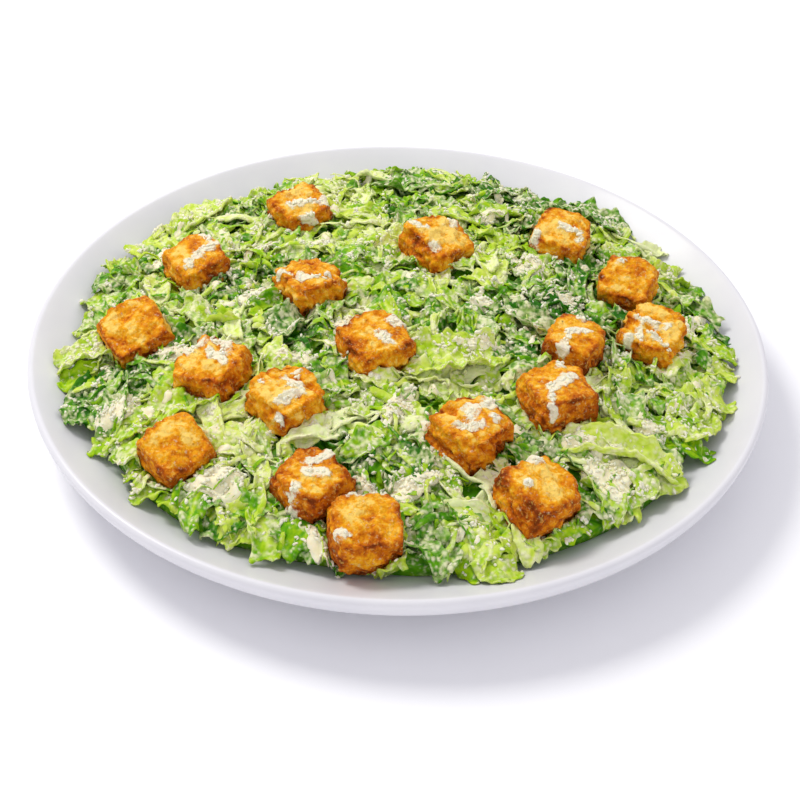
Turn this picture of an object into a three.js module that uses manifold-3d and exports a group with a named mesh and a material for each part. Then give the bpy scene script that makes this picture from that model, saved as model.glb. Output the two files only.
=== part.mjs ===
// Caesar salad on a shallow round plate, in millimetres, +Z up.
// The origin is the centre of the plate's foot ring, on the surface that the plate stands on.
// One solid for the plate, one for the dressed leaves, and one for each crouton.
import * as THREE from "three";
import { mergeVertices } from "three/addons/utils/BufferGeometryUtils.js";
import Module from "manifold-3d";

const wasm = await Module();
wasm.setup();

// Driving dimensions
const PLATE_RADIUS = 152.5;
const PLATE_HEIGHT = 30;
const PLATE_SIDES = 48;
const FLOOR_HEIGHT = 8;
const FOOT_INNER_RADIUS = 76;
const FOOT_OUTER_RADIUS = 83;
const FOOT_RECESS = 2.5;
const INSIDE_RADII = [0, 86, 110, 127, 138, 145, 149.5];
const GAP = 0.35;

const HEAP_RADIUS_X = 140;
const HEAP_RADIUS_Y = 136;
const HEAP_EDGE_HEIGHT = 25;
const HEAP_CENTRE_HEIGHT = 44;
const LEAF_LAYER = 3;
const CORE_SHARE = 0.93;
const CORE_SPOKES = 30;
const CORE_BUMP = 1.3;

const CROUTON_SIZE = 24;
const CROUTON_HEIGHT_SHARE = 0.8;
const CROUTON_SHOWN = 11;
const CROUTON_ROUNDING = 0.09;
const CROUTON_CRAG = 0.55;

const LEAF_THICKNESS = 1.2;
const LEAF_TRIES = 9;
const LIP_CLEARANCE = 6;
const LEAF_SPACING = 25;
const EDGE_LEAVES = 36;
const CHEESE_GRAINS = 26;
const DRESSING_THICKNESS = 3.6;
const SEED = 41;

// Where each crouton lies, read from the photograph: x, y, its turn in degrees,
// its size against CROUTON_SIZE, and how it leans about X and Y in degrees.
const CROUTONS = [
  { x: -46, y: 73.5, turn: 38, size: 0.93, leanX: 8, leanY: -4 },
  { x: -87, y: 31, turn: 36, size: 0.96, leanX: 4, leanY: -8 },
  { x: -37.5, y: 11, turn: 35, size: 1.02, leanX: -3, leanY: 4 },
  { x: 15, y: 44, turn: 42, size: 1.01, leanX: 14, leanY: 6 },
  { x: 70, y: 57.5, turn: -15, size: 1.0, leanX: 10, leanY: 10 },
  { x: 96.5, y: 26, turn: -22, size: 0.95, leanX: 20, leanY: 4 },
  { x: -107, y: -13, turn: 30, size: 1.03, leanX: 16, leanY: -18 },
  { x: -9, y: -30, turn: 33, size: 1.04, leanX: 6, leanY: -5 },
  { x: 70, y: -22.5, turn: -28, size: 0.9, leanX: 2, leanY: 3 },
  { x: 103, y: -8, turn: -22, size: 1.0, leanX: 12, leanY: 8 },
  { x: -72, y: -42.5, turn: -24, size: 1.03, leanX: 6, leanY: -10 },
  { x: -42.5, y: -60.5, turn: 44, size: 1.01, leanX: 5, leanY: -3 },
  { x: 61.5, y: -53.5, turn: 24, size: 1.05, leanX: -2, leanY: 4 },
  { x: 27.5, y: -76, turn: 45, size: 1.04, leanX: 4, leanY: 3 },
  { x: -82, y: -83, turn: 40, size: 0.95, leanX: 20, leanY: -14 },
  { x: -30, y: -101, turn: 46, size: 0.98, leanX: 3, leanY: -2 },
  { x: 51.5, y: -102, turn: 40, size: 1.05, leanX: 14, leanY: 8 },
  { x: -10.5, y: -120.5, turn: 17, size: 1.02, leanX: 12, leanY: 4 },
];

// Single leaves that stand out in the photograph: x, y, turn in degrees, length and width.
const SHOWN_LEAVES = [
  { x: 88, y: -76, turn: -14, length: 50, width: 22 },
  { x: 33, y: -122, turn: -52, length: 34, width: 19 },
  { x: -122, y: -18, turn: 24, length: 34, width: 20 },
  { x: -112, y: -48, turn: 8, length: 36, width: 22 },
  { x: -88, y: -62, turn: 22, length: 40, width: 18 },
  { x: -62, y: -74, turn: 6, length: 38, width: 18 },
  { x: -66, y: -96, turn: 12, length: 34, width: 22 },
  { x: 24, y: -37, turn: 8, length: 46, width: 24 },
  { x: -12, y: 48, turn: 78, length: 30, width: 20 },
  { x: -92, y: 82, turn: 62, length: 36, width: 24 },
  { x: 55, y: 112, turn: -30, length: 34, width: 22 },
  { x: 90, y: 94, turn: -38, length: 34, width: 20 },
  { x: 6, y: 124, turn: 6, length: 38, width: 20 },
  { x: 118, y: -52, turn: 58, length: 34, width: 20 },
  { x: 8, y: -80, turn: -48, length: 34, width: 17 },
];

// Pools of thick dressing that show as smooth cream patches: x, y, turn, length and width.
const DRESSING = [
  { x: 80, y: -88, turn: -34, length: 24, width: 13 },
  { x: -66, y: -97, turn: 10, length: 24, width: 12 },
  { x: 55, y: 36, turn: -50, length: 21, width: 10 },
  { x: 69, y: 14, turn: -10, length: 14, width: 9 },
  { x: 0, y: -62, turn: 60, length: 18, width: 9 },
  { x: -60, y: 8, turn: 16, length: 22, width: 9 },
  { x: 6, y: -99, turn: 12, length: 20, width: 8 },
  { x: 31, y: -24, turn: 20, length: 19, width: 10 },
  { x: -108, y: -58, turn: 40, length: 20, width: 9 },
  { x: 70, y: -74, turn: 0, length: 12, width: 8 },
  { x: -90, y: -26, turn: 4, length: 14, width: 8 },
  { x: 96, y: -60, turn: 70, length: 12, width: 8 },
];

const radians = (degrees) => (degrees * Math.PI) / 180;

// A seeded random stream of numbers from 0 to 1.
function randomStream(seed) {
  let state = seed >>> 0;
  return () => {
    state = (Math.imul(state, 1664525) + 1013904223) >>> 0;
    return state / 4294967296;
  };
}

// Height of the plate's inner curve at one of its profile's radii: flat, then ever steeper.
function insideCurve(r) {
  const wallStart = 70;
  const wallEnd = PLATE_RADIUS - 3.5;
  const wallTop = PLATE_HEIGHT - 0.6;
  const steepness = 2.5;
  const share = Math.max(0, (r - wallStart) / (wallEnd - wallStart));
  return FLOOR_HEIGHT + (wallTop - FLOOR_HEIGHT) * Math.pow(share, steepness);
}

// Height of the faceted plate's inner surface at a radius, at its highest there.
function plateInside(radius) {
  const r = radius / Math.cos(Math.PI / PLATE_SIDES);
  const outer = Math.max(1, INSIDE_RADII.findIndex((limit) => limit >= r));
  const [a, b] = [INSIDE_RADII[outer - 1], INSIDE_RADII[outer]];
  return THREE.MathUtils.mapLinear(r, a, b, insideCurve(a), insideCurve(b));
}

// The heap's edge radius in a direction, uneven as leaves lie.
function heapEdge(angle) {
  const c = Math.cos(angle) / HEAP_RADIUS_X;
  const s = Math.sin(angle) / HEAP_RADIUS_Y;
  const uneven = 1.4 * Math.sin(5 * angle + 0.7) + 1.1 * Math.sin(9 * angle + 2.1);
  return 1 / Math.hypot(c, s) + uneven;
}

// Height of the leaf tops over the plate's foot, as a low dome with gentle swells.
function heapTop(x, y) {
  const share = Math.min(1, Math.hypot(x, y) / heapEdge(Math.atan2(y, x)));
  const domeFullness = 0.8;
  const dome = Math.pow(1 - share * share, domeFullness);
  const broadSwell = 1.3 * Math.sin(x / 15 + 0.6) * Math.cos(y / 13 - 0.4);
  const swell = broadSwell + 0.9 * Math.sin((x + y) / 9);
  return HEAP_EDGE_HEIGHT + (HEAP_CENTRE_HEIGHT - HEAP_EDGE_HEIGHT) * dome + swell * (1 - share);
}

// A closed geometry's solid, with its matching corners merged.
function solidOf(geometry) {
  const plain = new THREE.BufferGeometry();
  plain.setAttribute("position", geometry.getAttribute("position"));
  if (geometry.index) plain.setIndex(geometry.index);
  const merged = mergeVertices(plain, 1e-3);
  return new wasm.Manifold(
    new wasm.Mesh({
      numProp: 3,
      vertProperties: new Float32Array(merged.getAttribute("position").array),
      triVerts: new Uint32Array(merged.index.array),
    }),
  );
}

// A solid's triangles as a geometry.
function geometryOf(solid) {
  const mesh = solid.getMesh();
  const geometry = new THREE.BufferGeometry();
  geometry.setAttribute("position", new THREE.BufferAttribute(mesh.vertProperties, 3));
  geometry.setIndex(new THREE.BufferAttribute(mesh.triVerts, 1));
  const flat = geometry.toNonIndexed();
  flat.computeVertexNormals();
  return flat;
}

// Revolves a profile of [radius, height] pairs about +Z.
function revolve(profile, sides) {
  const points = profile.map(([r, z]) => new THREE.Vector2(r, z));
  const geometry = new THREE.LatheGeometry(points, sides);
  geometry.rotateX(Math.PI / 2);
  return geometry;
}

// The plate: a foot ring, a curved wall with a rounded lip, and a shallow dished inside.
function plateGeometry() {
  const under = [
    [0, FOOT_RECESS],
    [FOOT_INNER_RADIUS - 2, FOOT_RECESS],
    [FOOT_INNER_RADIUS, 0],
    [FOOT_OUTER_RADIUS, 0],
    [FOOT_OUTER_RADIUS + 1.5, 2.2],
    [112, 5.9],
    [134, 12],
    [146, 17.8],
    [150.6, 22],
    [PLATE_RADIUS - 0.2, 26],
  ];
  const lip = [];
  const lipSteps = 4;
  const lipRound = 1.9;
  for (let i = 0; i < lipSteps; i++) {
    const turn = (i / (lipSteps - 1)) * Math.PI;
    lip.push([
      PLATE_RADIUS - lipRound + lipRound * Math.cos(turn),
      PLATE_HEIGHT - lipRound + lipRound * Math.sin(turn),
    ]);
  }
  const inside = INSIDE_RADII.slice(0, -1).reverse().map((r) => [r, insideCurve(r)]);
  return revolve([...under, ...lip, ...inside], PLATE_SIDES);
}

// The bare core under the leaves: it fits the plate below and is bumpy above.
function coreSolid(random) {
  const edge = HEAP_RADIUS_X * CORE_SHARE;
  const ringsBelow = [0, 0.68, 0.88, 1];
  const ringsAbove = [1, 0.95, 0.84, 0.7, 0.55, 0.4, 0.25, 0.12, 0];
  const lowest = ringsBelow.map((share) => [share * edge, 0]);
  const highest = ringsAbove.map((share) => [share * edge, 1]);
  const lathe = revolve([...lowest, ...highest], CORE_SPOKES);
  const geometry = mergeVertices(lathe.deleteAttribute("normal").deleteAttribute("uv"), 1e-3);
  const position = geometry.getAttribute("position");
  for (let i = 0; i < position.count; i++) {
    const angle = Math.atan2(position.getY(i), position.getX(i));
    const share = Math.hypot(position.getX(i), position.getY(i)) / edge;
    const r = share * heapEdge(angle) * CORE_SHARE;
    const x = r * Math.cos(angle);
    const y = r * Math.sin(angle);
    const below = plateInside(r) + GAP;
    const bump = (random() * 2 - 1) * CORE_BUMP;
    const above = Math.max(below + 1.5, heapTop(x, y) - LEAF_LAYER + bump);
    position.setXYZ(i, x, y, position.getZ(i) < 0.5 ? below : above);
  }
  return solidOf(geometry);
}

// Leans and turns a crouton's geometry about its centre.
function leanAndTurn(geometry, { turn, leanX, leanY }) {
  geometry.rotateX(radians(leanX));
  geometry.rotateY(radians(leanY));
  geometry.rotateZ(radians(turn));
  return geometry;
}

// The plain block of space that a crouton's seat leaves free round it.
function seatGeometry(place) {
  const edge = CROUTON_SIZE * place.size;
  const spare = 2 * (GAP + CROUTON_CRAG);
  const block = new THREE.BoxGeometry(
    edge + spare,
    edge + spare,
    edge * CROUTON_HEIGHT_SHARE + spare,
  );
  block.deleteAttribute("normal").deleteAttribute("uv");
  return leanAndTurn(block, place);
}

// A crouton about its own centre: a cube with soft corners and craggy faces.
function croutonGeometry(place, random) {
  const edge = CROUTON_SIZE * place.size;
  const tall = edge * CROUTON_HEIGHT_SHARE;
  const geometry = mergeVertices(
    new THREE.BoxGeometry(2, 2, 2, 3, 3, 3).deleteAttribute("normal").deleteAttribute("uv"),
  );
  const position = geometry.getAttribute("position");
  const corner = new THREE.Vector3();
  for (let i = 0; i < position.count; i++) {
    corner.fromBufferAttribute(position, i);
    const facesMet = [corner.x, corner.y, corner.z].filter((v) => Math.abs(v) > 0.99).length;
    corner.multiplyScalar(1 - CROUTON_ROUNDING * (facesMet - 1));
    corner.set((corner.x * edge) / 2, (corner.y * edge) / 2, (corner.z * tall) / 2);
    const crag = 1 + ((random() - 0.5) * 2 * CROUTON_CRAG) / (edge / 2);
    corner.multiplyScalar(crag);
    position.setXYZ(i, corner.x, corner.y, corner.z);
  }
  return leanAndTurn(geometry, place);
}

// Places a crouton so that CROUTON_SHOWN of its height stands clear of the leaf tops,
// or higher where the plate's wall would touch it.
function croutonCentre({ x, y, size }, geometry) {
  const tall = CROUTON_SIZE * size * CROUTON_HEIGHT_SHARE;
  const position = geometry.getAttribute("position");
  let z = heapTop(x, y) + CROUTON_SHOWN - tall / 2;
  for (let i = 0; i < position.count; i++) {
    const r = Math.hypot(x + position.getX(i), y + position.getY(i));
    z = Math.max(z, plateInside(r) + 4 * GAP - position.getZ(i));
  }
  return new THREE.Vector3(x, y, z);
}

// A thin solid from a wavy sheet: both faces share one split into triangles.
function thinSolid(sheet, columns, rows, thickness) {
  const top = sheet.getAttribute("position");
  const count = top.count;
  const points = [];
  for (const side of [0.5, -0.5])
    for (let i = 0; i < count; i++)
      points.push(top.getX(i), top.getY(i), top.getZ(i) + side * thickness);
  const faces = [];
  const index = sheet.index.array;
  for (let i = 0; i < index.length; i += 3) {
    faces.push(index[i], index[i + 1], index[i + 2]);
    faces.push(index[i] + count, index[i + 2] + count, index[i + 1] + count);
  }
  const wide = columns + 1;
  const rim = [];
  for (let i = 0; i < columns; i++) rim.push(i);
  for (let j = 0; j < rows; j++) rim.push(columns + j * wide);
  for (let i = columns; i > 0; i--) rim.push(rows * wide + i);
  for (let j = rows; j > 0; j--) rim.push(j * wide);
  rim.forEach((a, k) => {
    const b = rim[(k + 1) % rim.length];
    faces.push(a, b, b + count, a, b + count, a + count);
  });
  const geometry = new THREE.BufferGeometry();
  geometry.setAttribute("position", new THREE.Float32BufferAttribute(points, 3));
  geometry.setIndex(faces);
  return geometry;
}

// A torn piece of leaf about its own centre: tapered, folded on its rib, ruffled at its edges.
function leafGeometry({ length, width, arch, fold, ruffle, phase }, columns, rows) {
  const sheet = new THREE.PlaneGeometry(length, width, columns, rows);
  const position = sheet.getAttribute("position");
  for (let i = 0; i < position.count; i++) {
    const along = (2 * position.getX(i)) / length;
    const across = (2 * position.getY(i)) / width;
    const taper = 0.62 + 0.38 * Math.sqrt(Math.max(0, 1 - along * along * 0.95));
    const ragged = 0.12 * Math.sin(5.3 * along + phase * 2 + across);
    const y = ((across * width) / 2) * (taper + ragged);
    const wave = Math.sin(6.5 * along + phase + 1.9 * across) * Math.abs(across);
    const z = arch * (1 - along * along) + fold * Math.abs(across) + ruffle * wave;
    position.setXYZ(i, position.getX(i), y, z);
  }
  return thinSolid(sheet, columns, rows, LEAF_THICKNESS);
}

// Lays a geometry on the heap: turned, tilted with the slope, then kept over the plate.
function layOnHeap(geometry, { x, y, turn, lift, tilt }) {
  const step = 4;
  const slopeX = (heapTop(x + step, y) - heapTop(x - step, y)) / (2 * step);
  const slopeY = (heapTop(x, y + step) - heapTop(x, y - step)) / (2 * step);
  geometry.rotateX(radians(tilt));
  geometry.rotateZ(radians(turn));
  const position = geometry.getAttribute("position");
  const half = position.count / 2;
  for (let i = 0; i < position.count; i++) {
    const dx = position.getX(i);
    const dy = position.getY(i);
    const z = heapTop(x, y) + slopeX * dx + slopeY * dy + position.getZ(i) + lift;
    position.setXYZ(i, x + dx, y + dy, z);
  }
  for (let i = 0; i < half; i++) {
    const low = i + half;
    const r = Math.hypot(position.getX(low), position.getY(low));
    const short = plateInside(r) + 2 * GAP - position.getZ(low);
    if (short <= 0) continue;
    position.setZ(i, position.getZ(i) + short);
    position.setZ(low, position.getZ(low) + short);
  }
  return geometry;
}

// The furthest that a geometry's corners reach from the plate's axis.
function reach(geometry) {
  const position = geometry.getAttribute("position");
  let most = 0;
  for (let i = 0; i < position.count; i++)
    most = Math.max(most, Math.hypot(position.getX(i), position.getY(i)));
  return most;
}

// True where a solid stays clear of every crouton.
const clearOf = (solid, croutons) =>
  croutons.every((crouton) => solid.intersect(crouton).volume() < 1e-6);

// A place moved some way out from the middle of the nearest crouton.
function movedFromCrouton({ x, y }, distance) {
  const away = (crouton) => Math.hypot(x - crouton.x, y - crouton.y);
  const nearest = CROUTONS.reduce((best, next) => (away(next) < away(best) ? next : best));
  const share = distance / Math.max(1, away(nearest));
  return { x: x + (x - nearest.x) * share, y: y + (y - nearest.y) * share };
}

// Adds a leaf where it is clear of the croutons and the plate's lip. Each new try
// shortens it, turns it and moves it away from the nearest crouton.
function addLeaf(leaves, leaf, croutons) {
  const [columns, rows] = leaf.cells;
  for (let attempt = 0; attempt < LEAF_TRIES; attempt++) {
    const shrink = 1 - 0.075 * attempt;
    const size = { length: leaf.length * shrink, width: leaf.width * shrink };
    const geometry = leafGeometry({ ...leaf, ...size }, columns, rows);
    const place = movedFromCrouton(leaf, 0.8 * attempt);
    layOnHeap(geometry, { ...leaf, ...place, turn: leaf.turn + attempt * leaf.turnStep });
    if (reach(geometry) > PLATE_RADIUS - LIP_CLEARANCE) continue;
    const solid = solidOf(geometry);
    if (!clearOf(solid, croutons)) continue;
    leaves.push(solid);
    return;
  }
}

// The single leaves that the photograph shows, at their own places.
function shownLeaves(leaves, croutons, random) {
  for (const place of SHOWN_LEAVES) {
    addLeaf(
      leaves,
      {
        ...place,
        turnStep: 0,
        lift: -3.2,
        tilt: (random() - 0.5) * 10,
        arch: 3.4,
        fold: 2.2,
        ruffle: 1.5,
        phase: random() * 6,
        cells: [3, 2],
      },
      croutons,
    );
  }
}

// Places spread evenly over the heap, apart from each other and from the croutons.
function freePlaces() {
  const [stepX, stepY] = [0.7548777, 0.5698403];
  const candidates = 2000;
  const edgeRoom = 12;
  const croutonRoom = 0.74 * CROUTON_SIZE;
  const apart = (a, b) => Math.hypot(a.x - b.x, a.y - b.y);
  const places = [];
  for (let k = 0; k < candidates; k++) {
    const x = HEAP_RADIUS_X * (2 * ((k * stepX) % 1) - 1);
    const y = HEAP_RADIUS_Y * (2 * ((k * stepY) % 1) - 1);
    if (Math.hypot(x, y) > heapEdge(Math.atan2(y, x)) - edgeRoom) continue;
    if (CROUTONS.some((crouton) => apart({ x, y }, crouton) < croutonRoom)) continue;
    if (SHOWN_LEAVES.some((leaf) => apart({ x, y }, leaf) < LEAF_SPACING * 0.8)) continue;
    if (places.some((place) => apart({ x, y }, place) < LEAF_SPACING)) continue;
    places.push({ x, y });
  }
  return places;
}

// Leaves spread evenly over the heap, every third one broad and the others strips.
function scatteredLeaves(leaves, croutons, random) {
  freePlaces().forEach((place, k) => {
    const broad = k % 3 === 0;
    addLeaf(
      leaves,
      {
        ...place,
        turn: random() * 360,
        turnStep: 36,
        length: 22 + random() * 14,
        width: (broad ? 15 : 9) + random() * 5,
        lift: -3.9 + random() * 1.1,
        tilt: (random() - 0.5) * 40,
        arch: 2.6 + random() * 2.2,
        fold: (random() - 0.35) * 4,
        ruffle: 1 + random() * 1.4,
        phase: random() * 6,
        cells: broad ? [3, 2] : [3, 1],
      },
      croutons,
    );
  });
}

// Leaf ends that reach out over the plate's wall and make the heap's uneven outline.
function edgeLeaves(leaves, croutons, random) {
  for (let k = 0; k < EDGE_LEAVES; k++) {
    const angle = ((k + random() * 0.6) / EDGE_LEAVES) * 2 * Math.PI;
    const length = 20 + random() * 9;
    const r = heapEdge(angle) - length / 2 + 1 + random() * 3;
    addLeaf(
      leaves,
      {
        x: r * Math.cos(angle),
        y: r * Math.sin(angle),
        turn: THREE.MathUtils.radToDeg(angle) + (random() - 0.5) * 60,
        turnStep: 18,
        length,
        width: 8 + random() * 9,
        lift: -3.8 + random(),
        tilt: (random() - 0.5) * 24,
        arch: 1.4 + random() * 1.4,
        fold: random() * 1.8,
        ruffle: 0.8 + random() * 0.8,
        phase: random() * 6,
        cells: [3, 1],
      },
      croutons,
    );
  }
}

// Finds the top of a mesh over a point, or null where there is none.
function topFinder(geometry) {
  const mesh = new THREE.Mesh(geometry, new THREE.MeshBasicMaterial({ side: THREE.DoubleSide }));
  mesh.updateMatrixWorld(true);
  const caster = new THREE.Raycaster();
  const down = new THREE.Vector3(0, 0, -1);
  return (x, y) => {
    caster.set(new THREE.Vector3(x, y, 100), down);
    const hit = caster.intersectObject(mesh)[0];
    return hit ? hit.point.z : null;
  };
}

// A flattened pool of thick dressing with an uneven outline.
function poolGeometry(length, width, tall, random) {
  const geometry = new THREE.SphereGeometry(1, 7, 4);
  geometry.rotateX(Math.PI / 2);
  geometry.deleteAttribute("normal");
  geometry.deleteAttribute("uv");
  const merged = mergeVertices(geometry, 1e-3);
  const position = merged.getAttribute("position");
  for (let i = 0; i < position.count; i++) {
    const uneven = 0.82 + random() * 0.36;
    position.setXYZ(
      i,
      (position.getX(i) * uneven * length) / 2,
      (position.getY(i) * uneven * width) / 2,
      (position.getZ(i) * tall) / 2,
    );
  }
  return merged;
}

// A grain of grated cheese: a small pointed block with eight faces.
function grainGeometry(length, width, tall) {
  const geometry = new THREE.OctahedronGeometry(1, 0);
  geometry.deleteAttribute("normal");
  geometry.deleteAttribute("uv");
  return geometry.scale(length / 2, width / 2, tall / 2);
}

// The smooth cream patches of dressing, draped over what lies under them.
function dressingPools(topAt, croutons, random) {
  const pools = [];
  for (const { x, y, turn, length, width } of DRESSING) {
    const geometry = poolGeometry(length, width, DRESSING_THICKNESS, random);
    geometry.rotateZ(radians(turn));
    const position = geometry.getAttribute("position");
    for (let i = 0; i < position.count; i++) {
      const px = x + position.getX(i);
      const py = y + position.getY(i);
      const level = 0.5 * (topAt(px, py) ?? heapTop(px, py)) + 0.5 * heapTop(x, y);
      position.setXYZ(i, px, py, level + position.getZ(i));
    }
    const solid = solidOf(geometry);
    if (clearOf(solid, croutons)) pools.push(solid);
  }
  return pools;
}

// Large grains of grated cheese, spread evenly over the heap and sunk a little into it.
function cheeseGrains(topAt, croutons, random) {
  const grains = [];
  const goldenTurn = 2.399963;
  for (let k = 0; k < CHEESE_GRAINS; k++) {
    const angle = k * goldenTurn;
    const r = Math.sqrt((k + 0.5) / CHEESE_GRAINS) * (heapEdge(angle) - 9);
    const x = r * Math.cos(angle);
    const y = r * Math.sin(angle);
    const geometry = grainGeometry(2.6 + random() * 3, 2 + random() * 1.6, 2.4);
    geometry.rotateZ(random() * Math.PI);
    const level = topAt(x, y);
    if (level === null) continue;
    geometry.translate(x, y, level + 0.2);
    const solid = solidOf(geometry);
    if (clearOf(solid, croutons)) grains.push(solid);
  }
  return grains;
}

// The largest piece of a joined solid: hollows filled and loose scraps dropped.
function onePiece(solid) {
  const pieces = solid.decompose();
  const outer = pieces.filter((piece) => piece.volume() > 0);
  return outer.reduce((best, piece) => (piece.volume() > best.volume() ? piece : best));
}

// The dressed leaves as one solid, clear of the plate and with a seat for each crouton.
function saladSolid(croutonSeats) {
  const random = randomStream(SEED);
  let core = coreSolid(random);
  for (const seat of croutonSeats) core = core.subtract(seat);
  const leaves = [];
  shownLeaves(leaves, croutonSeats, random);
  edgeLeaves(leaves, croutonSeats, random);
  scatteredLeaves(leaves, croutonSeats, random);
  const leafy = onePiece(wasm.Manifold.union([core, ...leaves]));
  const topAt = topFinder(geometryOf(leafy));
  const toppings = [
    ...dressingPools(topAt, croutonSeats, random),
    ...cheeseGrains(topAt, croutonSeats, random),
  ];
  return onePiece(wasm.Manifold.union([leafy, ...toppings]));
}

const ceramic = new THREE.MeshStandardMaterial({ color: 0xe9e8ee, roughness: 0.22 });
const toast = new THREE.MeshStandardMaterial({ color: 0xd08a35, roughness: 0.85 });
const greens = new THREE.MeshStandardMaterial({ color: 0x9dbb6a, roughness: 0.6 });
ceramic.name = "ceramic";
toast.name = "toast";
greens.name = "greens";

const salad = new THREE.Group();

const plate = new THREE.Mesh(plateGeometry(), ceramic);
plate.name = "plate";
salad.add(plate);

const seats = CROUTONS.map((place, i) => {
  const geometry = croutonGeometry(place, randomStream(SEED + 7 * i));
  const centre = croutonCentre(place, geometry);
  const crouton = new THREE.Mesh(geometry, toast);
  crouton.name = "crouton_" + String(i + 1).padStart(2, "0");
  crouton.position.copy(centre);
  salad.add(crouton);
  return solidOf(seatGeometry(place).translate(centre.x, centre.y, centre.z));
});

const dressedLeaves = new THREE.Mesh(geometryOf(saladSolid(seats)), greens);
dressedLeaves.name = "dressed_leaves";
salad.add(dressedLeaves);

export default salad;
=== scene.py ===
"""A caesar salad on a round shallow plate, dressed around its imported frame.

Every size and place is in millimetres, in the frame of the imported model, and becomes
metres only when a mesh is made.
"""

from __future__ import annotations

import logging
import math
from dataclasses import dataclass, field
from enum import Enum

import bmesh
import bpy
import numpy as np
from mathutils import Matrix, Vector
from mathutils.bvhtree import BVHTree


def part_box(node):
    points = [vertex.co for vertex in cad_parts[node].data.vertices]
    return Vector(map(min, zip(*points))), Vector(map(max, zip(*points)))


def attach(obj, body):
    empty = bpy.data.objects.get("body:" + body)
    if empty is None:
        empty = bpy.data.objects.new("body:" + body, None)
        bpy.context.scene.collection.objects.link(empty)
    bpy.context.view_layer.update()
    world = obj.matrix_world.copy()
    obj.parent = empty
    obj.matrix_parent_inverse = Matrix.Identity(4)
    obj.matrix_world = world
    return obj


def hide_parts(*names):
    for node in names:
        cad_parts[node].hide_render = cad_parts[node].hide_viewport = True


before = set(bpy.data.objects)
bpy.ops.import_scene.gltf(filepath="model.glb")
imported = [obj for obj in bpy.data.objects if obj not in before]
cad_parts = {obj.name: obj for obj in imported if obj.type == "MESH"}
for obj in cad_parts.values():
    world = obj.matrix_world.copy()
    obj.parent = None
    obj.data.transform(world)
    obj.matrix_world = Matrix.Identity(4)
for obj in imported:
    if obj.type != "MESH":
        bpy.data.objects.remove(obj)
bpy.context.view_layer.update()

MM = 0.001
LOG = logging.getLogger("caesar_salad")
CROUTON_NODES = sorted(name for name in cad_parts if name.startswith("crouton"))

Array = np.ndarray
Colour = tuple[float, float, float]


def srgb(red: int, green: int, blue: int) -> tuple[float, float, float, float]:
    """Turns a colour of 0 to 255 a channel into the linear colour that a shader takes.

    Args:
        red: the red channel.
        green: the green channel.
        blue: the blue channel.

    Returns:
        The linear channels and a full alpha.
    """
    linear = [((c / 255 + 0.055) / 1.055) ** 2.4 if c > 10 else c / 255 / 12.92
              for c in (red, green, blue)]
    return (*linear, 1.0)


class SoftNoise:
    """A smooth random field over the plane, from a seeded lattice of numbers."""

    def __init__(self, seed: int, cell: float) -> None:
        """Draws the lattice.

        Args:
            seed: what the numbers are drawn from.
            cell: the lattice's spacing in millimetres.
        """
        self.cell = cell
        self.lattice = np.random.default_rng(seed).random((64, 64))

    def __call__(self, x: Array, y: Array) -> Array:
        """Reads the field.

        Args:
            x: places along X in millimetres.
            y: places along Y in millimetres.

        Returns:
            Numbers from 0 to 1, one for each place.
        """
        column, row = np.asarray(x) / self.cell + 1000, np.asarray(y) / self.cell + 1000
        i, j = np.floor(column).astype(int), np.floor(row).astype(int)
        s, t = column - i, row - j
        s, t = s * s * (3 - 2 * s), t * t * (3 - 2 * t)
        low = self.number(i, j) * (1 - s) + self.number(i + 1, j) * s
        high = self.number(i, j + 1) * (1 - s) + self.number(i + 1, j + 1) * s
        return low * (1 - t) + high * t

    def number(self, i: Array, j: Array) -> Array:
        """The lattice's numbers at whole places, repeated beyond its edges."""
        size = self.lattice.shape[0]
        return self.lattice[i % size, j % size]


@dataclass(frozen=True)
class PlateShape:
    """The plate's inner curve, as the solid has it."""

    radius: float = 152.5
    height: float = 30.0
    floor: float = 8.0
    wall_start: float = 70.0
    steepness: float = 2.5
    lip_inset: float = 3.5
    lip_drop: float = 0.6

    def inside(self, r: Array | float) -> Array:
        """Height of the inner surface at a radius, flat in the middle and then ever steeper.

        Args:
            r: distances from the middle in millimetres.

        Returns:
            Heights in millimetres, one for each distance.
        """
        run = self.radius - self.lip_inset - self.wall_start
        share = np.maximum(0, (np.asarray(r) - self.wall_start) / run)
        return self.floor + (self.height - self.lip_drop - self.floor) * share**self.steepness


@dataclass(frozen=True)
class HeapShape:
    """The outline and the low dome of the heap, as the solid has them."""

    radius_x: float = 140.0
    radius_y: float = 136.0
    edge_height: float = 25.0
    centre_height: float = 44.0

    def edge(self, angle: Array) -> Array:
        """The heap's edge radius in a direction, uneven as leaves lie."""
        plain = 1 / np.hypot(np.cos(angle) / self.radius_x, np.sin(angle) / self.radius_y)
        return plain + 1.4 * np.sin(5 * angle + 0.7) + 1.1 * np.sin(9 * angle + 2.1)

    def top(self, x: Array, y: Array) -> Array:
        """Height of the leaf tops at a place, without single leaves.

        Args:
            x: places along X in millimetres.
            y: places along Y in millimetres.

        Returns:
            Heights in millimetres, one for each place.
        """
        share = np.minimum(1, np.hypot(x, y) / self.edge(np.arctan2(y, x)))
        dome = (1 - share * share) ** 0.8
        swell = 1.3 * np.sin(x / 15 + 0.6) * np.cos(y / 13 - 0.4) + 0.9 * np.sin((x + y) / 9)
        rise = self.centre_height - self.edge_height
        return self.edge_height + rise * dome + swell * (1 - share)


PLATE = PlateShape()
HEAP = HeapShape()
HEAP_LUMPS = SoftNoise(71, 6.5)
HEAP_CRUMPLE = SoftNoise(72, 3.4)


def crumpled_top(x: Array, y: Array) -> Array:
    """Height of the leaf tops with the lumps and creases that the loose leaves share."""
    return HEAP.top(x, y) + 3.0 * (HEAP_LUMPS(x, y) - 0.5) + 2.0 * (HEAP_CRUMPLE(x, y) - 0.5)


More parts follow.
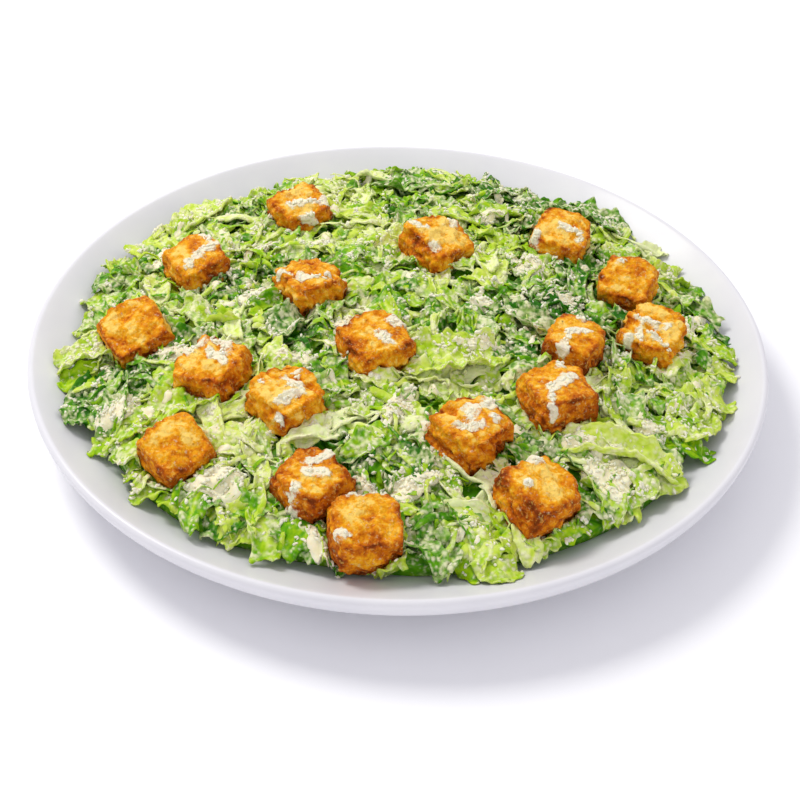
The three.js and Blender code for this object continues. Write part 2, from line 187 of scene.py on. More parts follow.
def on_patch(x: float, y: float, turn: float, along: Array | float,
             beside: Array | float) -> tuple[Array | float, Array | float]:
    """Finds places on a patch that lies turned about the vertical.

    Args:
        x: the patch's middle along X.
        y: the patch's middle along Y.
        turn: its turn in degrees.
        along: how far along the patch's own length.
        beside: how far along its own width.

    Returns:
        The places along X and along Y.
    """
    c, s = math.cos(math.radians(turn)), math.sin(math.radians(turn))
    return x + c * along - s * beside, y + s * along + c * beside


def mark_corners(bm: bmesh.types.BMesh, marks: dict[str, Array]) -> None:
    """Gives a bmesh's corners their float marks, one number a corner.

    Args:
        bm: the mesh that is marked.
        marks: the numbers, by the mark's name.
    """
    for label, values in marks.items():
        layer = bm.verts.layers.float.new(label)
        for vert, value in zip(bm.verts, values):
            vert[layer] = float(value)


def mesh_piece(name: str, points: Array, faces: Array, marks: dict[str, Array]) -> bpy.types.Object:
    """Makes one object from joined arrays.

    Args:
        name: the piece's name.
        points: corners in millimetres, one row each.
        faces: corner numbers, one face a row.
        marks: float attributes of the corners, by name; "along" and "across" also become a UV map.

    Returns:
        The new object, at the origin.
    """
    mesh = bpy.data.meshes.new(name)
    mesh.vertices.add(len(points))
    mesh.vertices.foreach_set("co", (points * MM).astype(np.float32).ravel())
    mesh.loops.add(faces.size)
    mesh.loops.foreach_set("vertex_index", faces.astype(np.int32).ravel())
    mesh.polygons.add(len(faces))
    starts = np.arange(0, faces.size, faces.shape[1], dtype=np.int32)
    mesh.polygons.foreach_set("loop_start", starts)
    mesh.update(calc_edges=True)
    mesh.polygons.foreach_set("use_smooth", np.ones(len(faces), bool))
    if "along" in marks:
        run = np.stack([marks.pop("along"), marks.pop("across")], 1)[faces.ravel()] * MM
        mesh.uv_layers.new(name="leaf_run").data.foreach_set("uv", run.astype(np.float32).ravel())
    for label, values in marks.items():
        mark = mesh.attributes.new(label, "FLOAT", "POINT")
        mark.data.foreach_set("value", values.astype(np.float32))
    piece = bpy.data.objects.new(name, mesh)
    bpy.context.scene.collection.objects.link(piece)
    return piece


def bmesh_piece(name: str, bm: bmesh.types.BMesh) -> bpy.types.Object:
    """Makes one object from a bmesh whose corners are in millimetres, and frees the bmesh.

    Args:
        name: the piece's name.
        bm: its mesh.

    Returns:
        The new object, at the origin.
    """
    bmesh.ops.scale(bm, vec=(MM, MM, MM), verts=bm.verts)
    mesh = bpy.data.meshes.new(name)
    bm.to_mesh(mesh)
    bm.free()
    mesh.polygons.foreach_set("use_smooth", np.ones(len(mesh.polygons), bool))
    piece = bpy.data.objects.new(name, mesh)
    bpy.context.scene.collection.objects.link(piece)
    return piece


@dataclass
class Heaped:
    """Many small shapes that are joined into one mesh."""

    points: list[Array] = field(default_factory=list)
    faces: list[Array] = field(default_factory=list)
    marks: dict[str, list[Array]] = field(default_factory=dict)
    count: int = 0

    def add(self, points: Array, faces: Array, **marks: Array) -> None:
        """Adds one shape with its marks, one number a corner.

        Args:
            points: its corners in millimetres.
            faces: its corner numbers, one face a row.
            **marks: its marks, by name.
        """
        self.points.append(points)
        self.faces.append(faces + self.count)
        self.count += len(points)
        for label, values in marks.items():
            self.marks.setdefault(label, []).append(np.broadcast_to(values, len(points)))

    def piece(self, name: str) -> bpy.types.Object:
        """Makes the joined mesh's object."""
        marks = {label: np.concatenate(parts) for label, parts in self.marks.items()}
        return mesh_piece(name, np.concatenate(self.points), np.concatenate(self.faces), marks)


class ShaderSheet:
    """Builds one material's nodes."""

    def __init__(self, name: str) -> None:
        """Starts a material with a Principled shader and an Object coordinate.

        Args:
            name: the material's name.
        """
        self.material = bpy.data.materials.new(name)
        self.material.use_nodes = True
        self.tree = self.material.node_tree
        self.tree.nodes.clear()
        self.shader = self.tree.nodes.new("ShaderNodeBsdfPrincipled")
        output = self.tree.nodes.new("ShaderNodeOutputMaterial")
        self.tree.links.new(self.shader.outputs[0], output.inputs[0])
        self.place = self.tree.nodes.new("ShaderNodeTexCoord").outputs["Object"]

    def feed(self, socket: bpy.types.NodeSocket, value: object) -> None:
        """Links or sets one input.

        Args:
            socket: the input.
            value: an output that is linked, or a plain value.
        """
        if isinstance(value, bpy.types.NodeSocket):
            self.tree.links.new(value, socket)
        else:
            socket.default_value = value

    def surface(self, **inputs: object) -> None:
        """Links or sets the shader's inputs, named with underscores for blanks."""
        for label, value in inputs.items():
            self.feed(self.shader.inputs[label.replace("_", " ")], value)

    def glow(self, weight: float, radius: Colour, depth: float) -> None:
        """Lets light through the surface, up to depth millimetres by colour."""
        self.surface(Subsurface_Weight=weight, Subsurface_Radius=radius, Subsurface_Scale=depth * MM)

    def noise(self, size: float, detail: float = 2.0, roughness: float = 0.5,
              warp: float = 0.0) -> bpy.types.NodeSocket:
        """A noise whose features are about size millimetres across.

        Args:
            size: the features' size in millimetres.
            detail: how much finer noise is added.
            roughness: how strong the finer noise is.
            warp: how far it is bent.

        Returns:
            The noise, about 0 to 1.
        """
        node = self.tree.nodes.new("ShaderNodeTexNoise")
        self.feed(node.inputs["Vector"], self.place)
        node.inputs["Scale"].default_value = 1 / (size * MM)
        node.inputs["Detail"].default_value = detail
        node.inputs["Roughness"].default_value = roughness
        node.inputs["Distortion"].default_value = warp
        return node.outputs[0]

    def streaks(self, long: float, wide: float) -> bpy.types.NodeSocket:
        """A noise that runs along each leaf, by its own UV map.

        Args:
            long: the streaks' length in millimetres.
            wide: their width in millimetres.

        Returns:
            The noise, about 0 to 1.
        """
        run = self.tree.nodes.new("ShaderNodeUVMap")
        run.uv_map = "leaf_run"
        stretch = self.tree.nodes.new("ShaderNodeMapping")
        stretch.inputs["Scale"].default_value = (1 / (long * MM), 1 / (wide * MM), 1.0)
        self.feed(stretch.inputs["Vector"], run.outputs[0])
        node = self.tree.nodes.new("ShaderNodeTexNoise")
        self.feed(node.inputs["Vector"], stretch.outputs[0])
        node.inputs["Scale"].default_value = 1.0
        node.inputs["Detail"].default_value = 0.8
        return node.outputs[0]

    def cells(self, size: float) -> bpy.types.NodeSocket:
        """The distance to the nearest of many points that are about size millimetres apart.

        Args:
            size: the points' spacing in millimetres.

        Returns:
            The distance, in spacings.
        """
        node = self.tree.nodes.new("ShaderNodeTexVoronoi")
        self.feed(node.inputs["Vector"], self.place)
        node.inputs["Scale"].default_value = 1 / (size * MM)
        return node.outputs["Distance"]

    def mark(self, label: str) -> bpy.types.NodeSocket:
        """The mesh's own float attribute of that name.

        Args:
            label: the attribute's name.

        Returns:
            The attribute's value.
        """
        node = self.tree.nodes.new("ShaderNodeAttribute")
        node.attribute_name = label
        return node.outputs["Fac"]

    def sum(self, *terms: tuple[object, float]) -> bpy.types.NodeSocket:
        """Adds up values, each times its own weight.

        Args:
            *terms: pairs of a value and its weight.

        Returns:
            The sum.
        """
        total: object = 0.0
        for value, weight in terms:
            node = self.tree.nodes.new("ShaderNodeMath")
            node.operation = "MULTIPLY_ADD"
            self.feed(node.inputs[0], value)
            self.feed(node.inputs[1], weight)
            self.feed(node.inputs[2], total)
            total = node.outputs[0]
        return total

    def step(self, value: object, low: float, high: float) -> bpy.types.NodeSocket:
        """Rises smoothly from 0 at low to 1 at high.

        Args:
            value: the value that is read.
            low: where the rise starts.
            high: where it ends.

        Returns:
            The risen value.
        """
        node = self.tree.nodes.new("ShaderNodeMapRange")
        node.interpolation_type = "SMOOTHSTEP"
        self.feed(node.inputs["Value"], value)
        node.inputs["From Min"].default_value = low
        node.inputs["From Max"].default_value = high
        return node.outputs["Result"]

    def times(self, first: object, second: object) -> bpy.types.NodeSocket:
        """Multiplies two values.

        Args:
            first: one value.
            second: the other value.

        Returns:
            The product.
        """
        node = self.tree.nodes.new("ShaderNodeMath")
        node.operation = "MULTIPLY"
        self.feed(node.inputs[0], first)
        self.feed(node.inputs[1], second)
        return node.outputs[0]

    def ramp(self, value: object, stops: list[tuple[float, tuple]]) -> bpy.types.NodeSocket:
        """Turns a value into a colour by stops of place and colour.

        Args:
            value: the value that is read.
            stops: places from 0 to 1 and their colours.

        Returns:
            The colour.
        """
        node = self.tree.nodes.new("ShaderNodeValToRGB")
        self.feed(node.inputs[0], value)
        bands = node.color_ramp.elements
        while len(bands) < len(stops):
            bands.new(0.5)
        for band, (place, colour) in zip(bands, stops):
            band.position = place
            band.color = colour
        return node.outputs[0]

    def mix(self, share: object, first: object, second: object) -> bpy.types.NodeSocket:
        """Mixes two colours.

        Args:
            share: how much of the second colour there is.
            first: the first colour.
            second: the second colour.

        Returns:
            The mixed colour.
        """
        node = self.tree.nodes.new("ShaderNodeMix")
        node.data_type = "RGBA"
        self.feed(node.inputs[0], share)
        self.feed(node.inputs[6], first)
        self.feed(node.inputs[7], second)
        return node.outputs[2]

    def bump(self, height: object, depth: float) -> None:
        """Gives the surface a relief of depth millimetres.

        Args:
            height: the relief, from 0 to 1.
            depth: its depth in millimetres.
        """
        node = self.tree.nodes.new("ShaderNodeBump")
        node.inputs["Strength"].default_value = 1.0
        node.inputs["Distance"].default_value = depth * MM
        self.feed(node.inputs["Height"], height)
        self.feed(self.shader.inputs["Normal"], node.outputs[0])


@dataclass(frozen=True)
class PorcelainGlaze:
    """White glazed porcelain with a faint lavender cast."""

    colour: tuple = srgb(224, 223, 227)
    cloud: tuple = srgb(221, 220, 225)

    def material(self) -> bpy.types.Material:
        """Builds the glaze: a clear gloss over white, with a soft unevenness.

        Returns:
            The finished material.
        """
        sheet = ShaderSheet("porcelain_glaze")
        tint = sheet.mix(sheet.step(sheet.noise(18, 2), 0.3, 0.7), self.colour, self.cloud)
        rough = sheet.sum((sheet.noise(9, 2), 0.08), (0.34, 1.0))
        sheet.surface(Base_Color=tint, Roughness=rough, Specular_IOR_Level=0.3)
        sheet.surface(Coat_Weight=0.12, Coat_Roughness=0.12, IOR=1.5)
        sheet.bump(sheet.noise(14, 1), 0.05)
        return sheet.material


@dataclass(frozen=True)
class LeafGreen:
    """Romaine: dark to yellow-green by the leaf's tone, paler at its rib, with dressing on it."""

    forest: tuple = srgb(38, 106, 2)
    leaf: tuple = srgb(92, 160, 2)
    fresh: tuple = srgb(166, 204, 14)
    lemon: tuple = srgb(210, 227, 92)
    heart: tuple = srgb(236, 243, 184)
    mint: tuple = srgb(216, 231, 146)
    cream: tuple = srgb(246, 242, 204)

    def material(self) -> bpy.types.Material:
        """Builds the leaf's colour, its cream speckles and its veins.

        Returns:
            The finished material.
        """
        sheet = ShaderSheet("romaine")
        tone, rib, coat = sheet.mark("tone"), sheet.mark("rib"), sheet.mark("coat")
        broad, fine = sheet.noise(7, 2), sheet.noise(2.8, 1.2, 0.5)
        veins = sheet.streaks(16, 1.8)
        value = sheet.sum((tone, 1.0), (broad, 0.36), (fine, 0.50), (veins, 0.40), (rib, 0.32),
                          (-0.65, 1.0))
        green = sheet.ramp(value, [(0.02, self.forest), (0.26, self.leaf), (0.52, self.fresh),
                                   (0.76, self.lemon), (1.0, self.heart)])
        specks, drifts = sheet.noise(2.2, 1.6, 0.5), sheet.noise(6.5, 2)
        wet = sheet.sum((specks, 1.0), (drifts, 0.9), (coat, 0.34), (-0.78, 1.0))
        film = sheet.step(wet, 0.22, 0.62)
        grain = sheet.step(sheet.sum((wet, 1.0), (sheet.cells(2.1), -0.8), (0.28, 1.0)), 0.12, 0.68)
        filmed = sheet.mix(sheet.times(film, 0.42), green, self.mint)
        colour = sheet.mix(sheet.times(grain, 0.72), filmed, self.cream)
        sheet.surface(Base_Color=colour, Roughness=0.55, Specular_IOR_Level=0.12)
        sheet.glow(0.12, (0.8, 1.0, 0.2), 1.8)
        crease = sheet.noise(3.6, 1)
        sheet.bump(sheet.sum((grain, 1.0), (fine, 0.6), (veins, 0.5), (crease, 1.2)), 0.38)
        return sheet.material


@dataclass(frozen=True)
class CreamDressing:
    """Thick cream dressing, smooth with a soft gloss."""

    colour: tuple = srgb(242, 231, 192)
    light: tuple = srgb(248, 240, 210)

    def material(self) -> bpy.types.Material:
        """Builds the dressing's colour, gloss and gentle unevenness.

        Returns:
            The finished material.
        """
        sheet = ShaderSheet("cream_dressing")
        warm = sheet.mix(sheet.step(sheet.noise(5, 3), 0.35, 0.65), self.colour, self.light)
        sheet.surface(Base_Color=warm, Roughness=0.45, Specular_IOR_Level=0.35)
        sheet.glow(0.25, (1.0, 0.7, 0.4), 2.0)
        sheet.bump(sheet.noise(2.4, 3), 0.35)
        return sheet.material


@dataclass(frozen=True)
class GratedHardCheese:
    """Grains of hard cheese, matt and pale."""

    colour: tuple = srgb(236, 232, 204)
    light: tuple = srgb(244, 240, 218)

    def material(self) -> bpy.types.Material:
        """Builds the cheese's pale, slightly mottled colour.

        Returns:
            The finished material.
        """
        sheet = ShaderSheet("grated_hard_cheese")
        pale = sheet.mix(sheet.step(sheet.noise(2.2, 2), 0.3, 0.7), self.colour, self.light)
        sheet.surface(Base_Color=pale, Roughness=0.7, Specular_IOR_Level=0.1)
        sheet.glow(0.2, (1.0, 0.8, 0.5), 1.0)
        sheet.bump(sheet.noise(0.7, 2), 0.15)
        return sheet.material


@dataclass(frozen=True)
class ToastedCrumb:
    """Toasted bread: pale crumb, gold faces and brown edges, the tops with painted light and the low sides
    and hollows with painted shade.
    """

    pale: tuple = srgb(248, 208, 104)
    gold: tuple = srgb(238, 168, 22)
    amber: tuple = srgb(218, 128, 8)
    brown: tuple = srgb(174, 80, 4)
    dark: tuple = srgb(120, 50, 4)
    cream: tuple = srgb(242, 238, 212)

    def material(self) -> bpy.types.Material:
        """Builds the toast's colour from its mark of browning with painted light and shade, and the
        crumb's pores.

        Returns:
            The finished material.
        """
        sheet = ShaderSheet("toasted_crumb")
        blotch, crumb = sheet.noise(5.0, 3, 0.55, 0.4), sheet.noise(1.9, 3, 0.6)
        # The toast mark carries real browning and painted light and shade: lighter tops, darker low sides
        # and hollows.
        value = sheet.sum((sheet.mark("toast"), 1.0), (blotch, 1.35), (crumb, 0.8), (-1.10, 1.0))
        bread = sheet.ramp(value, [(0.04, self.pale), (0.26, self.gold), (0.50, self.amber),
                                   (0.78, self.brown), (1.0, self.dark)])
        fleck = sheet.step(sheet.noise(1.5, 2, 0.6), 0.54, 0.70)
        crumbed = sheet.mix(sheet.times(fleck, 0.4), bread, self.pale)
        smear = sheet.sum((sheet.mark("cream"), 1.0), (sheet.noise(1.7, 3, 0.6), 1.9), (-0.95, 1.0))
        cover = sheet.step(smear, 0.16, 0.72)
        sheet.surface(Base_Color=sheet.mix(sheet.times(cover, 0.9), crumbed, self.cream))
        sheet.surface(Roughness=0.62, Specular_IOR_Level=0.1)
        sheet.glow(0.08, (1.0, 0.4, 0.1), 1.4)
        pores, grit = sheet.step(sheet.cells(2.2), 0.05, 0.5), sheet.noise(0.9, 2)
        sheet.bump(sheet.sum((pores, 0.5), (crumb, 1.2), (cover, 0.4), (grit, 0.3)), 0.8)
        return sheet.material


def dress(piece: bpy.types.Object, material: bpy.types.Material, slot: str,
          *nodes: str) -> bpy.types.Object:
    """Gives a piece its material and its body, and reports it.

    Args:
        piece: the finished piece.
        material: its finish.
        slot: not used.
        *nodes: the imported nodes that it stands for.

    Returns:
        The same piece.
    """
    piece.data.materials.clear()
    piece.data.materials.append(material)
    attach(piece, "root")
    if nodes:
        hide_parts(*nodes)
    triangles = sum(len(face.vertices) - 2 for face in piece.data.polygons)
    LOG.info("%s: %d triangles", piece.name, triangles)
    return piece


@dataclass
class CoupePlate:
    """The plate: a foot ring, a curved wall with a rounded lip, and a shallow dished inside."""

    shape: PlateShape = PLATE
    foot_inner: float = 76.0
    foot_outer: float = 83.0
    recess: float = 2.5
    recess_slope: float = 2.0
    foot_bevel: tuple[float, float] = (1.5, 2.2)
    wall_points: tuple[tuple[float, float], ...] = (
        (112.0, 5.9), (134.0, 12.0), (146.0, 17.8), (150.6, 22.0))
    lip_round: float = 1.9
    lip_turn: float = 122.0
    lip_steps: int = 14
    inside_steps: int = 48
    turns: int = 180

    def under_side(self) -> list[tuple[float, float]]:
        """The profile from the middle of the underside out to the lip.

        Returns:
            Radii and heights in millimetres.
        """
        foot_end = (self.foot_outer + self.foot_bevel[0], self.foot_bevel[1])
        foot = [(0.0, self.recess), (self.foot_inner - self.recess_slope, self.recess),
                (self.foot_inner, 0.0), (self.foot_outer, 0.0), foot_end]
        wall = [foot_end, *self.wall_points, (self.shape.radius - 0.2, 26.0),
                (self.shape.radius, 28.1)]
        for _ in range(3):
            cut = [wall[0]]
            for (r0, z0), (r1, z1) in zip(wall, wall[1:]):
                cut.append((0.75 * r0 + 0.25 * r1, 0.75 * z0 + 0.25 * z1))
                cut.append((0.25 * r0 + 0.75 * r1, 0.25 * z0 + 0.75 * z1))
            wall = [*cut, wall[-1]]
        return foot + wall[1:]

    def lip_and_inside(self) -> list[tuple[float, float]]:
        """The profile over the rounded lip and down the inner curve to the middle.

        Returns:
            Radii and heights in millimetres.
        """
        middle_r = self.shape.radius - self.lip_round
        middle_z = self.shape.height - self.lip_round
        arc = [math.radians(self.lip_turn) * i / self.lip_steps for i in range(1, self.lip_steps + 1)]
        lip = [(middle_r + self.lip_round * math.cos(a), middle_z + self.lip_round * math.sin(a))
               for a in arc]
        inner_start = lip[-1][0] - 0.6
        radii = [inner_start * (1 - i / self.inside_steps) for i in range(self.inside_steps)] + [0.0]
        return lip + [(r, float(self.shape.inside(r))) for r in radii]

    def build(self) -> bpy.types.Object:
        """Spins the profile into the plate's closed shell.

        Returns:
            The new object.
        """
        bm = bmesh.new()
        profile = self.under_side() + self.lip_and_inside()
        verts = [bm.verts.new((r, 0.0, z)) for r, z in profile]
        edges = [bm.edges.new(pair) for pair in zip(verts, verts[1:])]
        bmesh.ops.spin(bm, geom=verts + edges, cent=(0, 0, 0), axis=(0, 0, 1),
                       angle=math.tau, steps=self.turns, use_merge=True)
        bmesh.ops.remove_doubles(bm, verts=bm.verts, dist=0.01)
        bmesh.ops.recalc_face_normals(bm, faces=bm.faces)
        return bmesh_piece("coupe_plate", bm)


# The croutons whose faces are craggy, and how much browner than the rest each one is.
CRAGGY = {1, 3, 4, 8, 10, 11, 12, 14}
BROWNING = (0.0, 0.08, 0.04, 0.0, -0.04, -0.10, -0.04, 0.04, 0.10, -0.12, 0.04, -0.06,
            0.12, -0.02, -0.10, 0.09, 0.09, 0.04)

# Smears of dressing on the croutons, read from the photograph: the crouton's number,
# the smear's two ends from its middle, its half width, and how far it runs down the side.
SMEARS = [
    (1, -4, -5, 11, 0, 2.0, 4), (1, 3, -12, 6, -10, 2.0, 6), (2, -4, -9, 7, 4, 2.0, 3),
    (2, 3, 10, 5, 5, 2.5, 3), (3, -4, -4, -3, -5, 2.0, 3), (3, -1, -5, 8, -3, 1.6, 3),
    (3, -11, 0, -8, -1, 1.4, 3), (4, -9, 2, -8, 1, 1.7, 3), (4, -5, 0, -4, 0, 1.7, 3),
    (4, -1, -8, 0, -9, 1.8, 3), (4, 7, 8, 8, 7, 2.2, 3), (5, 0, -3, 8, -5, 2.0, 3),
    (5, 8, -5, 8, -10, 1.7, 4), (5, -12, -6, -11, -8, 2.0, 6), (6, -4, 4, -3, 4, 1.5, 3),
    (8, -1, -2, 6, -7, 2.6, 3), (8, 7, 6, 8, 4, 2.6, 3), (9, -5, -9, -2, 1, 2.0, 4),
    (9, -2, 1, 4, 0, 2.0, 3), (9, 2, 9, 3, 9, 1.8, 3), (10, -7, 1, 5, -3, 1.7, 3),
    (10, -6, -5, -6, -10, 1.7, 4), (10, -10, -8, -10, -12, 1.7, 8), (10, -2, -6, 6, -13, 1.5, 4),
    (11, -10, 5, -3, 11, 2.0, 3), (11, -3, 11, 4, 7, 2.0, 3), (11, 4, 7, 4, -4, 2.0, 3),
    (11, -2, 4, 0, -1, 1.6, 3), (12, 0, 3, 6, -2, 2.6, 3), (12, 6, -2, -2, -8, 2.0, 3),
    (12, -2, -13, -2, -15, 1.6, 6), (12, 3, 8, 4, 7, 1.6, 3), (12, -10, 2, -9, 2, 1.6, 3),
    (13, -3, -4, 5, 4, 2.1, 3), (13, 1, 12, 1, 11, 1.9, 3), (13, -3, -6, -3, -14, 1.4, 6),
    (14, 0, 4, 0, 0, 2.6, 3), (14, -4, -5, 4, -3, 2.1, 3), (14, 7, 10, 7, 8, 2.4, 3),
    (14, 8, 0, 9, 0, 1.6, 3), (16, 6, 9, 2, 5, 1.6, 3), (16, 2, 5, -2, 4, 1.8, 3),
    (16, -3, -2, 4, -2, 2.0, 3), (16, -5, -8, -7, -12, 2.2, 18), (17, -4, -4, -4, -5, 1.4, 3),
    (17, -2, 8, 1, 9, 1.6, 3), (18, -6, 9, 0, 11, 1.9, 3), (18, 0, 11, 5, 13, 1.9, 3),
    (18, -7, -8, -6, -9, 1.7, 3),
]


@dataclass
class Croutons:
    """The toasted bread cubes, each on its own node's form."""

    longest_edge: float = 0.85
    crag: float = 1.3
    craggy_share: float = 1.5
    plain_share: float = 0.95
    swell: float = 0.45
    smear_height: float = 0.55
    edge_rounds: int = 13

    def refined(self, node: str) -> bmesh.types.BMesh:
        """Merges a copy of one node's mesh and cuts it until no edge is longer than a crumb.

        Args:
            node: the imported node's name.

        Returns:
            The fine mesh, in millimetres.
        """
        bm = bmesh.new()
        bm.from_mesh(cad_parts[node].data)
        bmesh.ops.scale(bm, vec=(1 / MM,) * 3, verts=bm.verts)
        bmesh.ops.remove_doubles(bm, verts=bm.verts, dist=0.02)
        for _ in range(6):
            long = [edge for edge in bm.edges if edge.calc_length() > self.longest_edge]
            if not long:
                break
            bmesh.ops.subdivide_edges(bm, edges=long, cuts=1)
            bmesh.ops.triangulate(bm, faces=bm.faces)
        bmesh.ops.smooth_vert(bm, verts=bm.verts, factor=0.5,
                              use_axis_x=True, use_axis_y=True, use_axis_z=True)
        bm.normal_update()
        return bm

    def build_one(self, node: str, number: int) -> bpy.types.Object:
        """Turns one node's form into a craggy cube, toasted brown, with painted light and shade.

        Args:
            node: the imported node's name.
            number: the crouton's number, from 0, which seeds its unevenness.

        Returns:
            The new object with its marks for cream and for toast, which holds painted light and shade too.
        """
        bm = self.refined(node)
        points = np.array([v.co for v in bm.verts])
        normals = np.array([v.normal for v in bm.verts])
        edge = self.edge_share(bm, normals, self.edge_rounds)
        low, high = (np.array(corner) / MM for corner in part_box(node))
        rough = self.craggy_share if number + 1 in CRAGGY else self.plain_share
        push = rough * self.relief(points, number) + self.swell + 0.5 * edge
        cream = self.smeared(points, number + 1, low, high)
        moved = np.clip(points + normals * push[:, None], low, high)
        moved += normals * (self.smear_height * np.clip(cream * 1.6, 0, 1))[:, None]
        for vert, place in zip(bm.verts, moved):
            vert.co = place
        # Raised crumbs are painted lighter and hollows darker on the toast mark, as painted light and
        # shade.
        toast = self.browning_and_painted_shade(points, normals, edge, high[2], number) - 0.12 * (push - self.swell)
        mark_corners(bm, {"toast": toast, "cream": cream})
        return bmesh_piece(node.replace("crouton", "toasted_crouton"), bm)

    def browning_and_painted_shade(self, points: Array, normals: Array, edge: Array, top_height: float,
                number: int) -> Array:
        """How brown each corner is: brown at the edges as crust, with painted light golden on top and
        painted shade brown low on the sides.

        Args:
            points: the crouton's corners in millimetres.
            normals: its corners' normals.
            edge: how near each corner is to an edge.
            top_height: the height of its top.
            number: the crouton's number, from 0.

        Returns:
            One number a corner, about 0 for pale crumb and 1 for dark crust, with the painted light and
            shade in it.
        """
        top = np.clip(normals[:, 2] * 1.6 - 0.5, 0, 1)
        depth = np.clip((top_height - points[:, 2]) / 16, 0, 1)
        patch = self.around(points, 900 + number, 8.0) - 0.5
        # Browner at the edges as crust; the top term is painted light, lighter on top faces, and the depth
        # term is painted shade, darker low on the sides.
        face = 0.42 * edge - 0.22 * top * (1 - edge) + 0.18 * (1 - top) * depth
        return 0.45 + BROWNING[number] + face + 0.50 * patch

    @staticmethod
    def smeared(points: Array, number: int, low: Array, high: Array) -> Array:
        """How thickly dressing lies on a crouton, 0 beside its smears and 1 in their middles.

        Args:
            points: the crouton's corners in millimetres.
            number: the crouton's number, from 1.
            low: the lower corner of its box.
            high: the upper corner of its box.

        Returns:
            One number a corner.
        """
        share = np.zeros(len(points))
        plan = points[:, :2] - (low[:2] + high[:2]) / 2
        below = high[2] - points[:, 2]
        for crouton, x0, y0, x1, y1, wide, fall in SMEARS:
            if crouton != number:
                continue
            start, run = np.array([x0, y0]), np.array([x1 - x0, y1 - y0])
            along = np.clip((plan - start) @ run / max(run @ run, 1e-6), 0, 1)
            beside = np.linalg.norm(plan - start - along[:, None] * run, axis=1)
            across = np.clip(1.2 - beside / (1.3 * wide), 0, 1)
            share = np.maximum(share, across * np.clip(1 - (below - fall) / 3, 0, 1))
        ragged = Croutons.around(points, 300 + number, 2.6) - 0.5
        return np.where(share > 0, np.clip(share + 1.5 * ragged, 0, 1), 0)

    @staticmethod
    def edge_share(bm: bmesh.types.BMesh, normals: Array, rounds: int) -> Array:
        """How near each corner is to one of the cube's edges, from 0 to 1.

        Args:
            bm: the cube.
            normals: its corners' normals, which disagree with their neighbours' near an edge.
            rounds: how many times they are averaged with their neighbours'.

        Returns:
            One number a corner.
        """
        ends = np.array([[v.index for v in e.verts] for e in bm.edges])
        mean = normals.copy()
        degree = np.bincount(ends.ravel(), minlength=len(normals))[:, None]
        for _ in range(rounds):
            gathered = np.zeros_like(mean)
            np.add.at(gathered, ends[:, 0], mean[ends[:, 1]])
            np.add.at(gathered, ends[:, 1], mean[ends[:, 0]])
            mean = 0.4 * mean + 0.6 * gathered / degree
        return np.clip((1 - np.linalg.norm(mean, axis=1)) * 4.0, 0, 1)

    def relief(self, points: Array, number: int) -> Array:
        """How far each point stands out from or into the crumb, in millimetres.

        Args:
            points: the crouton's corners in millimetres.
            number: its number, from 0.

        Returns:
            One distance a corner.
        """
        lumps = self.around(points, number, 6.5) - 0.5
        crags = self.around(points, number + 50, 3.0) - 0.5
        grit = self.around(points, number + 70, 1.6) - 0.5
        pits = np.clip(self.around(points, number + 90, 3.4) - 0.62, 0, 1)
        return self.crag * (0.9 * lumps + 1.1 * crags + 0.85 * grit) - 2.2 * self.crag * pits

    @staticmethod
    def around(points: Array, seed: int, cell: float) -> Array:
        """A smooth field over a solid, from three plane fields.

        Args:
            points: places in millimetres.
            seed: what the fields are drawn from.
            cell: their spacing in millimetres.

        Returns:
            Numbers from 0 to 1, one for each place.
        """
        x, y, z = points.T
        fields = (SoftNoise(seed, cell)(x, y + 0.7 * z), SoftNoise(seed + 1, cell)(y, z + 0.7 * x),
                  SoftNoise(seed + 2, cell)(z, x + 0.7 * y))
        return np.clip((sum(fields) / 3 - 0.5) * 1.8 + 0.5, 0, 1)

    def build(self, toast: bpy.types.Material) -> list[bpy.types.Object]:
        """Builds and dresses every crouton.

        Args:
            toast: the finish of the bread.

        Returns:
            The croutons' objects.
        """
        pieces = []
        for number, node in enumerate(CROUTON_NODES):
            pieces.append(dress(self.build_one(node, number), toast, "toast", node))
        return pieces


class LeafKind(Enum):
    """The kinds of torn leaf in the heap."""

    CURLY = "dark_curly_leaves"
    BROAD = "fresh_broad_leaves"
    HEART = "pale_heart_leaves"
    SHRED = "leaf_shreds"
    SCRAP = "leaf_scraps"


@dataclass(frozen=True)
class LeafCut:
    """How one kind of leaf piece is cut, curled and coloured.

    Length and width are the ranges that a piece's size is drawn from. Ruffle and wave are the
    height and the spacing of its frill. Roll is how far it curls about its length, bend how
    far it arches and sweep how far it curves sideways. Tone and coat are the ranges of its
    lightness and of the dressing on it. Columns and rows are its squares along and across,
    and thick is its thickness in millimetres.
    """

    length: tuple[float, float]
    width: tuple[float, float]
    ruffle: float
    wave: float
    roll: float
    bend: float
    sweep: float
    tone: tuple[float, float]
    coat: tuple[float, float]
    columns: int
    rows: int
    thick: float


CUTS = {
    LeafKind.CURLY: LeafCut((14, 27), (9, 16), 2.2, 5.2, 0.9, 2.2, 3.0,
                            tone=(0.08, 0.40), coat=(0.5, 1.0), columns=17, rows=8, thick=0.45),
    LeafKind.BROAD: LeafCut((14, 28), (7, 14), 1.8, 6.0, 1.0, 2.4, 3.5,
                            tone=(0.38, 0.66), coat=(0.3, 0.95), columns=20, rows=8, thick=0.45),
    LeafKind.HEART: LeafCut((16, 30), (6, 12), 0.5, 9.0, 1.2, 2.6, 3.0,
                            tone=(0.60, 0.88), coat=(0.4, 1.0), columns=16, rows=6, thick=1.0),
    LeafKind.SHRED: LeafCut((9, 22), (1.5, 3.4), 0.6, 6.5, 0.9, 2.2, 4.5,
                            tone=(0.15, 0.85), coat=(0.2, 0.9), columns=12, rows=2, thick=0.4),
    LeafKind.SCRAP: LeafCut((5, 11), (4, 8), 1.6, 3.6, 0.6, 1.2, 1.0,
                            tone=(0.02, 0.75), coat=(0.4, 1.0), columns=8, rows=5, thick=0.4),
}

